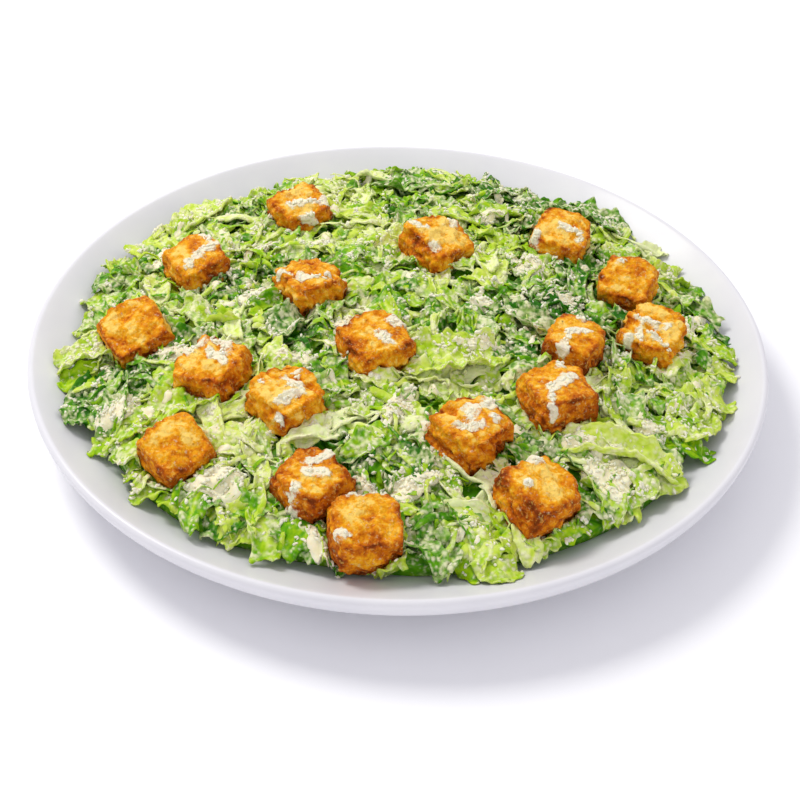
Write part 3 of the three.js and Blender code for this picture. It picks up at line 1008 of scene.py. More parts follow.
# Leaves that stand out in the photograph: kind, x, y, turn, length, width, tone.
SHOWN = [
    (LeafKind.HEART, 86, -75, -14, 44, 18, 0.74),
    (LeafKind.BROAD, 33, -122, -52, 36, 19, 0.56),
    (LeafKind.BROAD, -124, -18, 24, 34, 20, 0.60),
    (LeafKind.CURLY, -114, -48, 8, 38, 24, 0.04),
    (LeafKind.BROAD, -88, -60, 22, 42, 17, 0.50),
    (LeafKind.HEART, -62, -74, 6, 38, 16, 0.62),
    (LeafKind.BROAD, 21, -34, 10, 38, 24, 0.60),
    (LeafKind.HEART, -12, 46, 78, 32, 20, 0.74),
    (LeafKind.HEART, -92, 84, 62, 36, 22, 0.66),
    (LeafKind.CURLY, 55, 104, -30, 36, 24, 0.02),
    (LeafKind.CURLY, 90, 94, -38, 34, 22, 0.06),
    (LeafKind.CURLY, 6, 120, 6, 38, 22, 0.10),
    (LeafKind.BROAD, 118, -48, 58, 34, 20, 0.58),
    (LeafKind.BROAD, 8, -82, -48, 36, 16, 0.56),
]

# Where the heap is lighter or darker, read from the photograph: x, y, reach, change of tone.
TONE_ZONES = [
    (20, -24, 20, 0.30), (-11, 47, 18, 0.30), (-90, 85, 18, 0.18), (-121, -20, 18, 0.26),
    (-77, -54, 16, 0.24), (-59, -72, 18, 0.28), (38, -122, 22, 0.26), (87, -73, 22, 0.22),
    (123, -16, 18, 0.16), (-56, -24, 14, 0.22), (-29, -78, 16, 0.16), (116, -45, 18, 0.18),
    (-17, 61, 16, 0.22), (-60, -104, 16, 0.14), (33, -38, 16, 0.2),
    (8, 111, 24, -0.14), (55, 101, 24, -0.20), (92, 99, 22, -0.20), (67, 5, 14, -0.24),
    (-56, 32, 14, -0.22), (-117, -44, 18, -0.34), (13, -126, 18, -0.24), (-67, -108, 14, -0.2),
    (83, -97, 18, -0.22), (0, -4, 14, -0.2), (-17, -92, 12, -0.3), (47, -77, 12, -0.2),
    (84, 17, 14, -0.22), (116, -75, 16, -0.22), (-30, 40, 14, -0.2), (-42, -22, 13, -0.32),
    (50, -26, 13, -0.4), (-30, -121, 12, -0.36), (104, -60, 14, -0.3), (-110, -42, 14, -0.16),
    (128, -20, 12, -0.16), (10, 18, 12, -0.14), (-30, 86, 18, 0.40), (30, 30, 16, 0.28),
    (-10, -60, 12, 0.2), (30, -98, 13, 0.34), (-68, 40, 13, 0.2), (-90, 2, 12, 0.16),
    (112, 78, 16, 0.5), (-66, -60, 11, -0.4), (20, -115, 12, -0.3), (-10, 60, 12, -0.14),
    (30, 50, 10, 0.1), (90, -20, 10, -0.24), (10, -88, 10, -0.24), (50, -118, 10, 0.24),
    (0, 0, 10, 0.16), (50, 0, 12, -0.14), (50, -60, 12, 0.24), (30, -104, 12, 0.2),
    (-10, -64, 11, 0.2), (70, 22, 12, 0.2), (20, -42, 10, 0.16),
]


# Shares of the heap's width and depth that each next place is moved on by.
EVEN_STEPS = (0.7548777, 0.5698403)


@dataclass
class LeafHeap:
    """The chopped leaves: laid piece by piece over the core, clear of plate and croutons."""

    seed: int = 5
    plate_gap: float = 0.7
    reach: float = 145.5
    soft_reach: float = 6.0
    crouton_sink: float = 5.5
    crouton_gap: float = 0.4
    half_side: int = 160
    open_height: float = 1e3
    sheets: dict[LeafKind, Heaped] = field(default_factory=lambda: {kind: Heaped() for kind in LeafKind})
    grids: dict[LeafKind, tuple[Array, Array]] = field(default_factory=dict)
    frill_fields: dict[float, SoftNoise] = field(default_factory=dict)

    def __post_init__(self) -> None:
        """Cuts one flat sheet a kind and measures the croutons' tops."""
        self.draw = np.random.default_rng(self.seed)
        self.mottle = SoftNoise(17, 22.0)
        for kind, cut in CUTS.items():
            self.grids[kind] = self.flat_sheet(cut.columns, cut.rows)
        self.fine_grid = self.flat_sheet(40, 18)
        self.crouton_tops = self.measure_crouton_tops()

    @staticmethod
    def flat_sheet(columns: int, rows: int) -> tuple[Array, Array]:
        """A flat sheet of squares with corners from -1 to 1 each way.

        Args:
            columns: its squares along.
            rows: its squares across.

        Returns:
            Its corners and its faces.
        """
        bm = bmesh.new()
        bmesh.ops.create_grid(bm, x_segments=columns, y_segments=rows, size=1.0)
        points = np.array([v.co[:2] for v in bm.verts])
        faces = np.array([[v.index for v in face.verts] for face in bm.faces])
        bm.free()
        return points, faces

    def measure_crouton_tops(self) -> Array:
        """The croutons' height over each square millimetre, or the open height beside them.

        Returns:
            A square table of heights in millimetres.
        """
        tops = np.full((2 * self.half_side, 2 * self.half_side), self.open_height)
        for node in CROUTON_NODES:
            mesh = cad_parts[node].data
            tree = BVHTree.FromPolygons([v.co / MM for v in mesh.vertices],
                                        [tuple(p.vertices) for p in mesh.polygons])
            low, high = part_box(node)
            for i in range(int(low.x / MM) - 1, int(high.x / MM) + 2):
                for j in range(int(low.y / MM) - 1, int(high.y / MM) + 2):
                    hit = tree.ray_cast(Vector((i, j, 100)), Vector((0, 0, -1)))[0]
                    if hit is not None:
                        tops[i + self.half_side, j + self.half_side] = hit.z
        return tops

    def tone_at(self, x: float, y: float) -> float:
        """How much lighter or darker than its kind a leaf is at a place.

        Args:
            x: the place along X.
            y: the place along Y.

        Returns:
            The change of tone.
        """
        change = 0.34 * (float(self.mottle(x, y)) - 0.5)
        for zone_x, zone_y, reach, tone in TONE_ZONES:
            change += tone * math.exp(-((x - zone_x) ** 2 + (y - zone_y) ** 2) / reach**2)
        return change

    def shape(self, cut: LeafCut, length: float, width: float, u: Array, v: Array) -> Array:
        """Curls one flat sheet into a torn leaf about its own centre.

        Args:
            cut: the kind's cut.
            length: the leaf's length in millimetres.
            width: the leaf's width in millimetres.
            u: places along the leaf, from -1 to 1.
            v: places across it, from -1 to 1.

        Returns:
            The leaf's corners in millimetres.
        """
        phase = self.draw.random(8) * math.tau
        side = np.sign(v)
        taper = 0.5 + 0.5 * np.sqrt(1 - 0.96 * u * u)
        ragged = 0.12 * np.sin(4.1 * u + phase[0] + side) + 0.08 * np.sin(9 * u + phase[1] + 2 * side)
        across = v * width / 2 * (taper + ragged * np.abs(v))
        x = u * length / 2 * (1 + 0.08 * np.sin(3 * v + phase[2]) + 0.05 * np.sin(7 * v + phase[3]))
        roll = cut.roll * self.draw.uniform(-0.7, 1.3) * (1 + 0.3 * np.sin(2 * u + phase[7])) + 1e-3
        radius = width / 2 / roll
        y = radius * np.sin(across / radius)
        cup = radius * (1 - np.cos(across / radius))
        y = y + cut.sweep * self.draw.uniform(-1, 1) * u * u
        start = self.draw.uniform(-500, 500, 2)
        cell = cut.wave / 2.1
        frill = 2.6 * (self.frills(cell)(x + start[0], 2.2 * v * cell + start[1]) - 0.5) * np.abs(v) ** 1.1
        small = (self.frills(cell / 2)(x + start[1], across + start[0]) - 0.5) * (0.35 + np.abs(v)) * 0.55
        pucker = 0.3 * np.sin(1.3 * x + phase[7]) * np.sin(1.4 * across + phase[0])
        sag = cut.bend * self.draw.uniform(-0.35, 1.15) * (1 - u * u)
        twist = self.draw.uniform(-1.4, 1.4) * u * v
        z = cup + sag + twist + cut.ruffle * (frill + small) + pucker * min(1, cut.ruffle)
        return np.stack([x, y, z], 1)

    def frills(self, cell: float) -> SoftNoise:
        """The field that ruffles leaf edges at one spacing.

        Args:
            cell: the spacing in millimetres.

        Returns:
            The field.
        """
        if cell not in self.frill_fields:
            self.frill_fields[cell] = SoftNoise(int(cell * 100), cell)
        return self.frill_fields[cell]

    def wrinkles(self, x: Array, y: Array) -> Array:
        """The small creases of a leaf that shows well, across its length for the most part.

        Args:
            x: the leaf's corners along its length.
            y: and across it.

        Returns:
            Heights in millimetres, one a corner.
        """
        first, second = self.draw.uniform(-400, 400, 2)
        long = SoftNoise(41, 2.6)(x + first, 0.35 * y + second) - 0.5
        short = SoftNoise(42, 1.9)(x + second, y + first) - 0.5
        return 2.2 * long + 1.6 * short

    def lay(self, kind: LeafKind, x: float, y: float, lift: float, turn: float,
            size: tuple[float, float] | None = None, tone: float | None = None,
            lean: float = 16.0, fine: bool = False) -> None:
        """Lays one leaf on the heap.

        Args:
            kind: which kind it is.
            x: where its middle lies along X.
            y: where its middle lies along Y.
            lift: its height over the smooth heap.
            turn: its turn about the vertical in degrees.
            size: its length and width, drawn from its kind's where not given.
            tone: its tone, drawn from its kind's where not given.
            lean: the most that it leans about its own axes in degrees.
            fine: whether it is cut finely enough for its small wrinkles.
        """
        cut = CUTS[kind]
        flat, faces = self.fine_grid if fine else self.grids[kind]
        u, v = flat.T
        length, width = size or (self.draw.uniform(*cut.length), self.draw.uniform(*cut.width))
        points = self.shape(cut, length, width, u, v)
        if fine:
            points[:, 2] += self.wrinkles(points[:, 0], points[:, 1])
        leans = [math.radians(self.draw.uniform(-lean, lean)) for _ in range(2)]
        turned = Matrix.Rotation(math.radians(turn), 3, "Z") @ Matrix.Rotation(leans[0], 3, "X")
        points = points @ np.array(turned @ Matrix.Rotation(leans[1] * 0.6, 3, "Y")).T
        points[:, 0] += x
        points[:, 1] += y
        points = self.keep_in_plate(points)
        points[:, 2] += crumpled_top(points[:, 0], points[:, 1]) + lift
        points = self.keep_clear(points)
        if tone is None:
            tone = self.draw.uniform(*cut.tone) + self.tone_at(x, y)
        small = kind in (LeafKind.SHRED, LeafKind.SCRAP)
        rib = np.clip(1 - np.abs(v) * 5, 0, 1) * np.clip(0.9 - u, 0, 1) * (not small)
        start = self.draw.uniform(0, 900, 2)
        coat = self.draw.uniform(*cut.coat) + min(0.0, 0.22 * (lift + 0.6))
        self.sheets[kind].add(points, faces, tone=tone + 0.08 * np.abs(v), rib=rib, coat=coat,
                              along=start[0] + u * length / 2, across=start[1] + v * width / 2)

    def keep_in_plate(self, points: Array) -> Array:
        """Draws corners that would pass the plate's lip back inside it.

        Args:
            points: a leaf's corners, which are changed.

        Returns:
            The same corners.
        """
        r = np.hypot(points[:, 0], points[:, 1])
        soft = self.reach - self.soft_reach
        inner = np.where(r > soft, soft + self.soft_reach * np.tanh((r - soft) / 9), r)
        points[:, :2] *= (inner / np.maximum(r, 1e-6))[:, None]
        return points

    def keep_clear(self, points: Array) -> Array:
        """Keeps corners over the plate, and sinks those that would pass through a crouton.

        Args:
            points: a leaf's corners, which are changed.

        Returns:
            The same corners.
        """
        r = np.hypot(points[:, 0], points[:, 1])
        points[:, 2] = np.maximum(points[:, 2], PLATE.inside(r) + self.plate_gap)
        last = 2 * self.half_side - 1
        i = np.clip(np.rint(points[:, 0]).astype(int) + self.half_side, 0, last)
        j = np.clip(np.rint(points[:, 1]).astype(int) + self.half_side, 0, last)
        under = self.crouton_tops[i, j] < self.open_height
        sunk = np.maximum(HEAP.top(points[:, 0], points[:, 1]) - self.crouton_sink,
                          PLATE.inside(r) + self.crouton_gap)
        points[:, 2] = np.where(under, np.minimum(points[:, 2], sunk), points[:, 2])
        return points

    def spread(self, count: int, inset: float, offset: int) -> list[tuple[float, float]]:
        """Places spread evenly over the heap by steps that never line up.

        Args:
            count: how many places.
            inset: how far inside the heap's edge they stay, in millimetres.
            offset: how many steps are passed over first.

        Returns:
            The places along X and Y.
        """
        places = []
        k = offset
        while len(places) < count:
            k += 1
            x = HEAP.radius_x * (2 * ((k * EVEN_STEPS[0]) % 1) - 1)
            y = HEAP.radius_y * (2 * ((k * EVEN_STEPS[1]) % 1) - 1)
            if math.hypot(x, y) < HEAP.edge(math.atan2(y, x)) - inset:
                places.append((x, y))
        return places

    def fill(self, count: int, inset: float, lift: tuple[float, float], offset: int) -> None:
        """Lays a layer of dark, fresh and pale leaves, chosen by how light the heap is there.

        Args:
            count: how many leaves.
            inset: how far inside the heap's edge they stay.
            lift: the lowest and the highest that they lie.
            offset: how many steps of the places are passed over.
        """
        for x, y in self.spread(count, inset, offset):
            light = 0.46 + 1.3 * self.tone_at(x, y)
            pick = self.draw.random()
            kind = LeafKind.BROAD if pick < light else LeafKind.CURLY
            if pick < light - 0.36:
                kind = LeafKind.HEART
            self.lay(kind, x, y, self.draw.uniform(*lift), self.draw.uniform(0, 360))

    def strew(self, kind: LeafKind, count: int, lift: tuple[float, float], offset: int) -> None:
        """Strews small pieces of one kind over the whole heap."""
        for x, y in self.spread(count, 7, offset):
            self.lay(kind, x, y, self.draw.uniform(*lift), self.draw.uniform(0, 360), lean=24)

    def rim(self, count: int) -> None:
        """Lays leaf ends round the heap's edge, out over the plate's wall.

        Args:
            count: how many leaves.
        """
        for k in range(count):
            angle = (k + self.draw.uniform(-0.35, 0.35)) / count * math.tau
            r = HEAP.edge(angle) - self.draw.uniform(8, 14)
            x, y = r * math.cos(angle), r * math.sin(angle)
            light = 0.62 + self.tone_at(x, y)
            kind = LeafKind.BROAD if self.draw.random() < light else LeafKind.CURLY
            size = (self.draw.uniform(14, 24), self.draw.uniform(9, 15))
            turn = math.degrees(angle) + self.draw.uniform(-70, 70)
            self.lay(kind, x, y, self.draw.uniform(-2.5, 0.2), turn, size)

    def build(self) -> None:
        """Lays every leaf, from the bottom layer to the loose shreds on top."""
        self.fill(150, inset=13, lift=(-4.4, -2.6), offset=0)
        self.rim(84)
        self.fill(190, inset=14, lift=(-2.4, -0.6), offset=1000)
        self.strew(LeafKind.SCRAP, 260, lift=(-1.6, 0.2), offset=7000)
        for kind, x, y, turn, length, width, tone in SHOWN:
            self.lay(kind, x, y, 0.3, turn, (length, width), tone, lean=5, fine=True)
        self.fill(90, inset=15, lift=(-1.0, 0.4), offset=3000)
        self.strew(LeafKind.SHRED, 460, lift=(-1.0, 1.0), offset=5000)
        self.strew(LeafKind.SCRAP, 240, lift=(-0.6, 0.8), offset=9000)

    def pieces(self, green: bpy.types.Material) -> list[bpy.types.Object]:
        """Joins each kind's leaves into one piece and gives the leaves their thickness.

        Args:
            green: the finish of the leaves.

        Returns:
            One object a kind.
        """
        made = []
        for kind, heaped in self.sheets.items():
            piece = heaped.piece(kind.value)
            thicken = piece.modifiers.new("thickness", "SOLIDIFY")
            thicken.thickness = CUTS[kind].thick * MM
            thicken.offset = 0.0
            made.append(dress(piece, green, "greens", "dressed_leaves"))
        return made


@dataclass
class LeafCore:
    """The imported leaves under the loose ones, a bumpy filled core."""

    share: float = 0.94
    depth: float = 3.9
    rings: int = 26
    spokes: int = 96

    def build(self) -> bpy.types.Object:
        """Spins a flat disc with an upper and a lower sheet and moves it to the heap's form.

        Returns:
            The new object with the marks of a leaf.
        """
        bm = bmesh.new()
        rings = [i / self.rings for i in range(self.rings + 1)]
        lower = [bm.verts.new((share, 0.0, 0.0)) for share in rings]
        upper = [bm.verts.new((share, 0.0, 1.0)) for share in reversed(rings)]
        chain = lower + upper
        edges = [bm.edges.new(pair) for pair in zip(chain, chain[1:])]
        bmesh.ops.spin(bm, geom=chain + edges, cent=(0, 0, 0), axis=(0, 0, 1),
                       angle=math.tau, steps=self.spokes, use_merge=True)
        bmesh.ops.remove_doubles(bm, verts=bm.verts, dist=0.0005)
        bumps = SoftNoise(31, 6.0)
        for vert in bm.verts:
            angle = math.atan2(vert.co.y, vert.co.x)
            r = math.hypot(vert.co.x, vert.co.y) * float(HEAP.edge(angle)) * self.share
            x, y = r * math.cos(angle), r * math.sin(angle)
            below = float(PLATE.inside(r)) + 0.5
            above = float(crumpled_top(x, y)) - self.depth + 2 * (float(bumps(x, y)) - 0.5)
            vert.co = (x, y, below if vert.co.z < 0.5 else max(below + 0.8, above))
        bmesh.ops.recalc_face_normals(bm, faces=bm.faces)
        run = bm.loops.layers.uv.new("leaf_run")
        for face in bm.faces:
            for loop in face.loops:
                loop[run].uv = loop.vert.co.xy * MM
        plain = np.ones(len(bm.verts))
        mark_corners(bm, {"tone": 0.26 * plain, "rib": 0 * plain, "coat": 0.1 * plain})
        return bmesh_piece("leaf_core", bm)


class TopFinder:
    """Finds the top of what is laid so far, looking straight down."""

    def __init__(self, pieces: list[bpy.types.Object]) -> None:
        """Joins the pieces' faces into one search tree, in millimetres.

        Args:
            pieces: the pieces that it looks down on.
        """
        points: list[list[float]] = []
        faces: list[list[int]] = []
        for piece in pieces:
            start = len(points)
            flat = np.empty(len(piece.data.vertices) * 3, np.float32)
            piece.data.vertices.foreach_get("co", flat)
            points += (flat.reshape(-1, 3) / MM).tolist()
            faces += [[start + i for i in p.vertices] for p in piece.data.polygons]
        self.tree = BVHTree.FromPolygons(points, faces)

    def at(self, x: float, y: float) -> tuple[Vector, Vector] | None:
        """The topmost point and its upward normal over a place, or None.

        Args:
            x: the place along X.
            y: the place along Y.

        Returns:
            The point and the normal, where something lies there.
        """
        place, normal, _, _ = self.tree.ray_cast(Vector((x, y, 120)), Vector((0, 0, -1)))
        if place is None:
            return None
        return place, normal if normal.z > 0 else -normal

    def level(self, x: float, y: float, spread: float) -> float:
        """The mean top height round a place.

        Args:
            x: the place along X.
            y: the place along Y.
            spread: how far round it is looked, in millimetres.

        Returns:
            The height in millimetres.
        """
        heights = []
        for step in range(7):
            angle = step * math.tau / 6
            reach = spread if step else 0.0
            found = self.at(x + reach * math.cos(angle), y + reach * math.sin(angle))
            if found is not None:
                heights.append(found[0].z)
        return sum(heights) / len(heights) if heights else float(HEAP.top(x, y))


# Smooth cream patches of thick dressing: x, y, turn, length and width.
DRESSING = [
    (80, -88, -34, 25, 14), (-66, -97, 10, 25, 13), (55, 36, -50, 22, 10), (69, 14, -10, 14, 9),
    (0, -62, 60, 19, 9), (-60, 8, 16, 23, 9), (6, -99, 12, 22, 9), (31, -24, 20, 20, 10),
    (-108, -58, 40, 21, 9), (70, -74, 0, 12, 8), (-90, -26, 4, 15, 8), (96, -60, 70, 12, 8),
    (-62, 46, 40, 16, 8), (40, 78, 20, 15, 7), (-22, -14, 80, 14, 7), (44, -92, 30, 15, 7),
    (-40, -34, 10, 14, 7), (120, 4, 70, 14, 8), (34, 6, 0, 14, 6), (-104, 44, 60, 13, 7),
    (-27, -124, -56, 19, 5), (-12, -99, 30, 10, 9),
]


@dataclass
class ThickDressing:
    """Pools and dabs of dressing draped over the leaves."""

    thick: float = 1.5
    dabs: int = 90
    dab_thick: float = 1.0
    dab_reach: float = 128.0
    seed: int = 23

    def __post_init__(self) -> None:
        """Cuts the fine ball for the pools and the coarse one for the dabs."""
        self.draw = np.random.default_rng(self.seed)
        self.fine, self.coarse = self.ball(4), self.ball(3)

    @staticmethod
    def ball(rounds: int) -> tuple[Array, Array]:
        """A ball's corners and faces.

        Args:
            rounds: how many times it is refined.

        Returns:
            Its corners and its faces.
        """
        bm = bmesh.new()
        bmesh.ops.create_icosphere(bm, subdivisions=rounds, radius=1.0)
        points = np.array([v.co for v in bm.verts])
        faces = np.array([[v.index for v in face.verts] for face in bm.faces])
        bm.free()
        return points, faces

    def drape(self, heaped: Heaped, ball: tuple[Array, Array], tops: TopFinder, x: float, y: float,
              turn: float, length: float, width: float, thick: float) -> None:
        """Lays one flattened, uneven lump over what lies under it.

        Args:
            heaped: the joined mesh that it goes into.
            ball: the corners and faces that it is made from.
            tops: what it lies on.
            x: its middle along X.
            y: its middle along Y.
            turn: its turn about the vertical in degrees.
            length: its length in millimetres.
            width: its width in millimetres.
            thick: half its thickness in millimetres.
        """
        points, faces = ball
        phase = self.draw.random(4) * math.tau
        angle = np.arctan2(points[:, 1], points[:, 0])
        uneven = 1 + 0.18 * np.sin(2 * angle + phase[0]) + 0.15 * np.sin(3 * angle + phase[1])
        uneven += 0.11 * np.sin(5 * angle + phase[2]) + 0.07 * np.sin(8 * angle + phase[3])
        flat = points[:, :2] * uneven[:, None] * (length / 2, width / 2)
        px, py = on_patch(x, y, turn, flat[:, 0], flat[:, 1])
        level = np.array([tops.level(a, b, min(1.6, width / 5)) for a, b in zip(px, py)])
        lumps = 1 + 0.3 * np.sin(0.9 * px + phase[0]) * np.sin(1.1 * py + phase[1])
        pz = level + thick * (points[:, 2] * 0.85 + 0.05) * lumps
        heaped.add(np.stack([px, py, pz], 1), faces)

    def on_leaves(self, tops: TopFinder) -> bpy.types.Object:
        """Lays the smooth patches that show and many small dabs.

        Args:
            tops: what it lies on.

        Returns:
            The new object.
        """
        heaped = Heaped()
        for x, y, turn, length, width in DRESSING:
            self.drape(heaped, self.fine, tops, x, y, turn, length, width, self.thick)
        for _ in range(self.dabs):
            angle = self.draw.uniform(0, math.tau)
            r = self.dab_reach * math.sqrt(self.draw.random())
            x, y = r * math.cos(angle), r * math.sin(angle)
            length = self.draw.uniform(3.5, 9)
            width = length * self.draw.uniform(0.4, 0.8)
            turn = self.draw.uniform(0, 180)
            self.drape(heaped, self.coarse, tops, x, y, turn, length, width, self.dab_thick)
        return heaped.piece("thick_dressing")


@dataclass
class GratedCheese:
    """Loose grains of grated hard cheese, over the leaves and in the croutons' smears."""

    clusters: int = 560
    strays: int = 900
    patch_density: float = 0.3
    leaf_density: float = 0.13
    reach: float = 142.0
    seed: int = 77

    def __post_init__(self) -> None:
        """Cuts a plain grain and a softer one, and starts the seeded draw."""
        self.draw = np.random.default_rng(self.seed)
        self.plain, self.soft = ThickDressing.ball(1), ThickDressing.ball(2)
        self.drifts, self.fine = SoftNoise(61, 13.0), SoftNoise(62, 4.0)

    def grain(self, block: Array, place: Vector, normal: Vector, size: float) -> Array:
        """One grain's corners: an uneven bit laid on a surface.

        Args:
            block: the plain grain's corners.
            place: where it lies.
            normal: the surface's upward normal there.
            size: about how large it is, in millimetres.

        Returns:
            Its corners in millimetres.
        """
        draw = self.draw
        spans = [draw.uniform(0.9, 1.9), draw.uniform(0.6, 1.0), draw.uniform(0.5, 0.9)]
        sides = size / 2 * np.array(spans)
        corners = block * sides * draw.uniform(0.75, 1.15, (len(block), 1))
        turned = normal.to_track_quat("Z", "Y").to_matrix()
        turned = turned @ Matrix.Rotation(draw.uniform(0, math.tau), 3, "Z")
        turned = turned @ Matrix.Rotation(draw.uniform(-0.7, 0.7), 3, "X")
        return corners @ np.array(turned).T + np.array(place) + np.array(normal) * sides[2] * 0.5

    def drop(self, heaped: Heaped, tops: TopFinder, x: float, y: float, size: float,
             lift: float = 0.0, soft: bool = False) -> None:
        """Drops one grain on what lies under it.

        Args:
            heaped: the joined mesh that it goes into.
            tops: what it lies on.
            x: where it falls along X.
            y: where it falls along Y.
            size: about how large it is, in millimetres.
            lift: how far it is raised or sunk.
            soft: whether it is a round crumb and not a plain grain.
        """
        found = tops.at(x, y)
        if found is not None:
            block, faces = self.soft if soft else self.plain
            place = found[0] + Vector((0, 0, lift))
            heaped.add(self.grain(block, place, found[1], size), faces)

    def wanted(self, x: float, y: float) -> bool:
        """Whether a grain falls at a place, more often in drifts and never off the heap.

        Args:
            x: the place along X.
            y: the place along Y.

        Returns:
            Whether one falls.
        """
        inside = float(HEAP.edge(math.atan2(y, x))) - math.hypot(x, y)
        wish = 0.55 * float(self.drifts(x, y)) + 0.45 * float(self.fine(x, y))
        return inside > -1 and self.draw.random() < (wish - 0.2) * 1.8

    def wanted_place(self) -> tuple[float, float]:
        """Draws places on the heap until a grain falls at one.

        Returns:
            The place along X and Y.
        """
        while True:
            x, y = self.draw.uniform(-self.reach, self.reach, 2)
            if self.wanted(x, y):
                return x, y

    def clump(self, heaped: Heaped, tops: TopFinder) -> None:
        """Drops a handful of grains close together.

        Args:
            heaped: the joined mesh that they go into.
            tops: what they lie on.
        """
        x, y = self.wanted_place()
        spread = self.draw.uniform(0.6, 1.5)
        for _ in range(int(self.draw.integers(4, 10))):
            dx, dy = self.draw.normal(0, spread, 2)
            size, lift = self.draw.uniform(1.0, 2.0), self.draw.uniform(-0.2, 0.3)
            self.drop(heaped, tops, x + dx, y + dy, size, lift)

    def on_leaves(self, tops: TopFinder) -> bpy.types.Object:
        """Scatters clumps, grains on the dressing and the shown leaves, and single grains.

        Args:
            tops: what they lie on.

        Returns:
            The new object.
        """
        heaped = Heaped()
        for _ in range(self.clusters):
            self.clump(heaped, tops)
        for px, py, turn, length, width in DRESSING:
            for _ in range(int(self.patch_density * length * width)):
                along, beside = self.draw.normal(0, 0.4, 2) * (length, width)
                x, y = on_patch(px, py, turn, along, beside)
                size, lift = self.draw.uniform(1.0, 2.2), self.draw.uniform(-0.3, 0.2)
                self.drop(heaped, tops, x, y, size, lift)
        for _, px, py, turn, length, width, _ in SHOWN:
            for _ in range(int(self.leaf_density * length * width)):
                along, beside = self.draw.uniform(-0.45, 0.45, 2) * (length, width)
                x, y = on_patch(px, py, turn, along, beside)
                if self.wanted(x, y):
                    size, lift = self.draw.uniform(0.8, 1.7), self.draw.uniform(-0.2, 0.2)
                    self.drop(heaped, tops, x, y, size, lift)
        for _ in range(self.strays):
            x, y = self.wanted_place()
            self.drop(heaped, tops, x, y, self.draw.uniform(0.8, 1.6))
        return heaped.piece("grated_cheese")

    def on_croutons(self, tops: TopFinder) -> bpy.types.Object:
        """Sets soft crumbs of cheese in the croutons' smears of dressing.

        Args:
            tops: what they lie on.

        Returns:
            The new object.
        """
        heaped = Heaped()
        for crouton, x0, y0, x1, y1, wide, _ in SMEARS:
            low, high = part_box(CROUTON_NODES[crouton - 1])
            middle = (low + high) / 2 / MM
            for _ in range(4 + int(0.7 * math.hypot(x1 - x0, y1 - y0))):
                along = self.draw.random()
                dx, dy = self.draw.normal(0, 0.35 * wide, 2)
                x = middle.x + x0 + along * (x1 - x0) + dx
                y = middle.y + y0 + along * (y1 - y0) + dy
                size, lift = self.draw.uniform(0.9, 1.9), self.draw.uniform(-0.4, 0.1)
                self.drop(heaped, tops, x, y, size, lift, soft=True)
        return heaped.piece("cheese_on_croutons")


@dataclass(frozen=True)
class PaleFloor:
    """The plain floor that the plate stands on."""

    side: float = 4.0

    def build(self) -> bpy.types.Object:
        """Lays the floor just under the plate's foot.

        Returns:
            The new object.
        """
        bm = bmesh.new()
        bmesh.ops.create_grid(bm, x_segments=1, y_segments=1, size=self.side / 2 / MM)
        floor = bmesh_piece("pale_floor", bm)
        sheet = ShaderSheet("pale_floor")
        sheet.surface(Base_Color=srgb(250, 250, 253), Roughness=0.8, Specular_IOR_Level=0.1)
        floor.data.materials.append(sheet.material)
        return floor


@dataclass(frozen=True)
class SoftLamp:
    """A large soft lamp that looks at the plate."""

    name: str
    azimuth: float
    elevation: float
    watts: float
    size: float = 1.0
    distance: float = 1.6
    colour: Colour = (1.0, 1.0, 1.0)

    def build(self) -> None:
        """Hangs the lamp; azimuth 0 is on the far side of the plate, 90 to its right."""
        data = bpy.data.lights.new(self.name, "AREA")
        data.shape = "DISK"
        data.size = self.size
        data.energy = self.watts
        data.color = self.colour
        lamp = bpy.data.objects.new(self.name, data)
        turn, rise = math.radians(self.azimuth), math.radians(self.elevation)
        level = math.cos(rise)
        lamp.location = Vector((math.sin(turn) * level, math.cos(turn) * level, math.sin(rise)))
        lamp.location *= self.distance
        lamp.rotation_euler = (-lamp.location).to_track_quat("-Z", "Y").to_euler()
        bpy.context.scene.collection.objects.link(lamp)


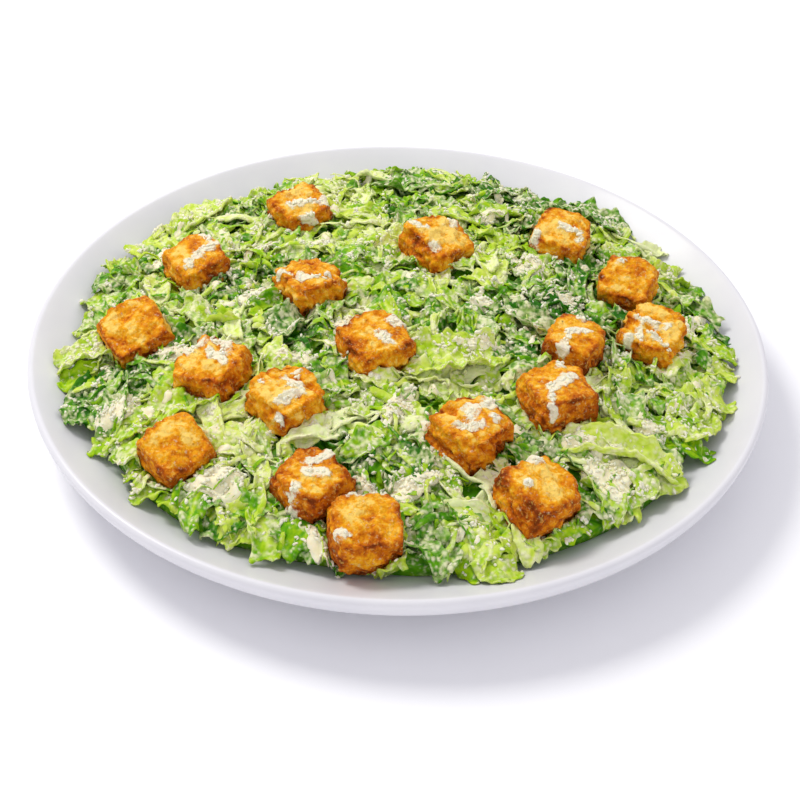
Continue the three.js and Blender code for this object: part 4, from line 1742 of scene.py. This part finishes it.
@dataclass(frozen=True)
class Viewpoint:
    """The photograph's camera: where it stands, where it looks, its roll and its lens."""

    eye: tuple[float, float, float] = (0.0, -520.04, 428.22)
    aim: tuple[float, float, float] = (1.095, -16.729, 8.0)
    roll: float = 1.536
    lens: float = 70.57

    def build(self) -> None:
        """Makes the camera and sets it as the scene's."""
        data = bpy.data.cameras.new("photograph")
        data.lens = self.lens
        data.sensor_width = 36.0
        data.clip_start = 0.01
        camera = bpy.data.objects.new("photograph", data)
        look = Vector(self.aim) - Vector(self.eye)
        level = look.to_track_quat("-Z", "Y").to_matrix()
        turned = level @ Matrix.Rotation(math.radians(self.roll), 3, "Z")
        camera.matrix_world = Matrix.Translation(Vector(self.eye) * MM) @ turned.to_4x4()
        bpy.context.scene.collection.objects.link(camera)
        bpy.context.scene.camera = camera


LAMPS = (
    SoftLamp("fill", azimuth=160, elevation=14, watts=3.0),
    SoftLamp("back", azimuth=15, elevation=38, watts=1.6),
    SoftLamp("key", azimuth=-55, elevation=55, watts=13.5, size=0.6, colour=(1.0, 0.99, 0.94)),
)
ROOM_COLOUR = (0.965, 0.953, 1.0, 1.0)
ROOM_STRENGTH = 0.75


def light_the_scene() -> None:
    """Sets the even pale surroundings, the lamps and the plain view transform."""
    world = bpy.data.worlds.new("pale_room")
    world.use_nodes = True
    background = world.node_tree.nodes["Background"]
    background.inputs[0].default_value = ROOM_COLOUR
    background.inputs[1].default_value = ROOM_STRENGTH
    bpy.context.scene.world = world
    bpy.context.scene.view_settings.view_transform = "Standard"
    for lamp in LAMPS:
        lamp.build()


def main() -> None:
    """Builds the plate, the croutons, the leaves, the dressing and the cheese in order."""
    logging.basicConfig(level=logging.INFO, format="%(message)s")
    Viewpoint().build()
    light_the_scene()
    PaleFloor().build()
    dress(CoupePlate().build(), PorcelainGlaze().material(), "ceramic", "plate")
    croutons = Croutons().build(ToastedCrumb().material())
    green = LeafGreen().material()
    core = dress(LeafCore().build(), green, "greens", "dressed_leaves")
    heap = LeafHeap()
    heap.build()
    leaves = heap.pieces(green)
    cream, cheese = CreamDressing().material(), GratedHardCheese().material()
    dressing = ThickDressing()
    pools = dress(dressing.on_leaves(TopFinder([core, *leaves])), cream, "greens", "dressed_leaves")
    grating = GratedCheese()
    dress(grating.on_leaves(TopFinder([core, *leaves, pools])), cheese, "greens", "dressed_leaves")
    dress(grating.on_croutons(TopFinder(croutons)), cheese, "greens", "dressed_leaves")


if __name__ == "__main__":
    main()
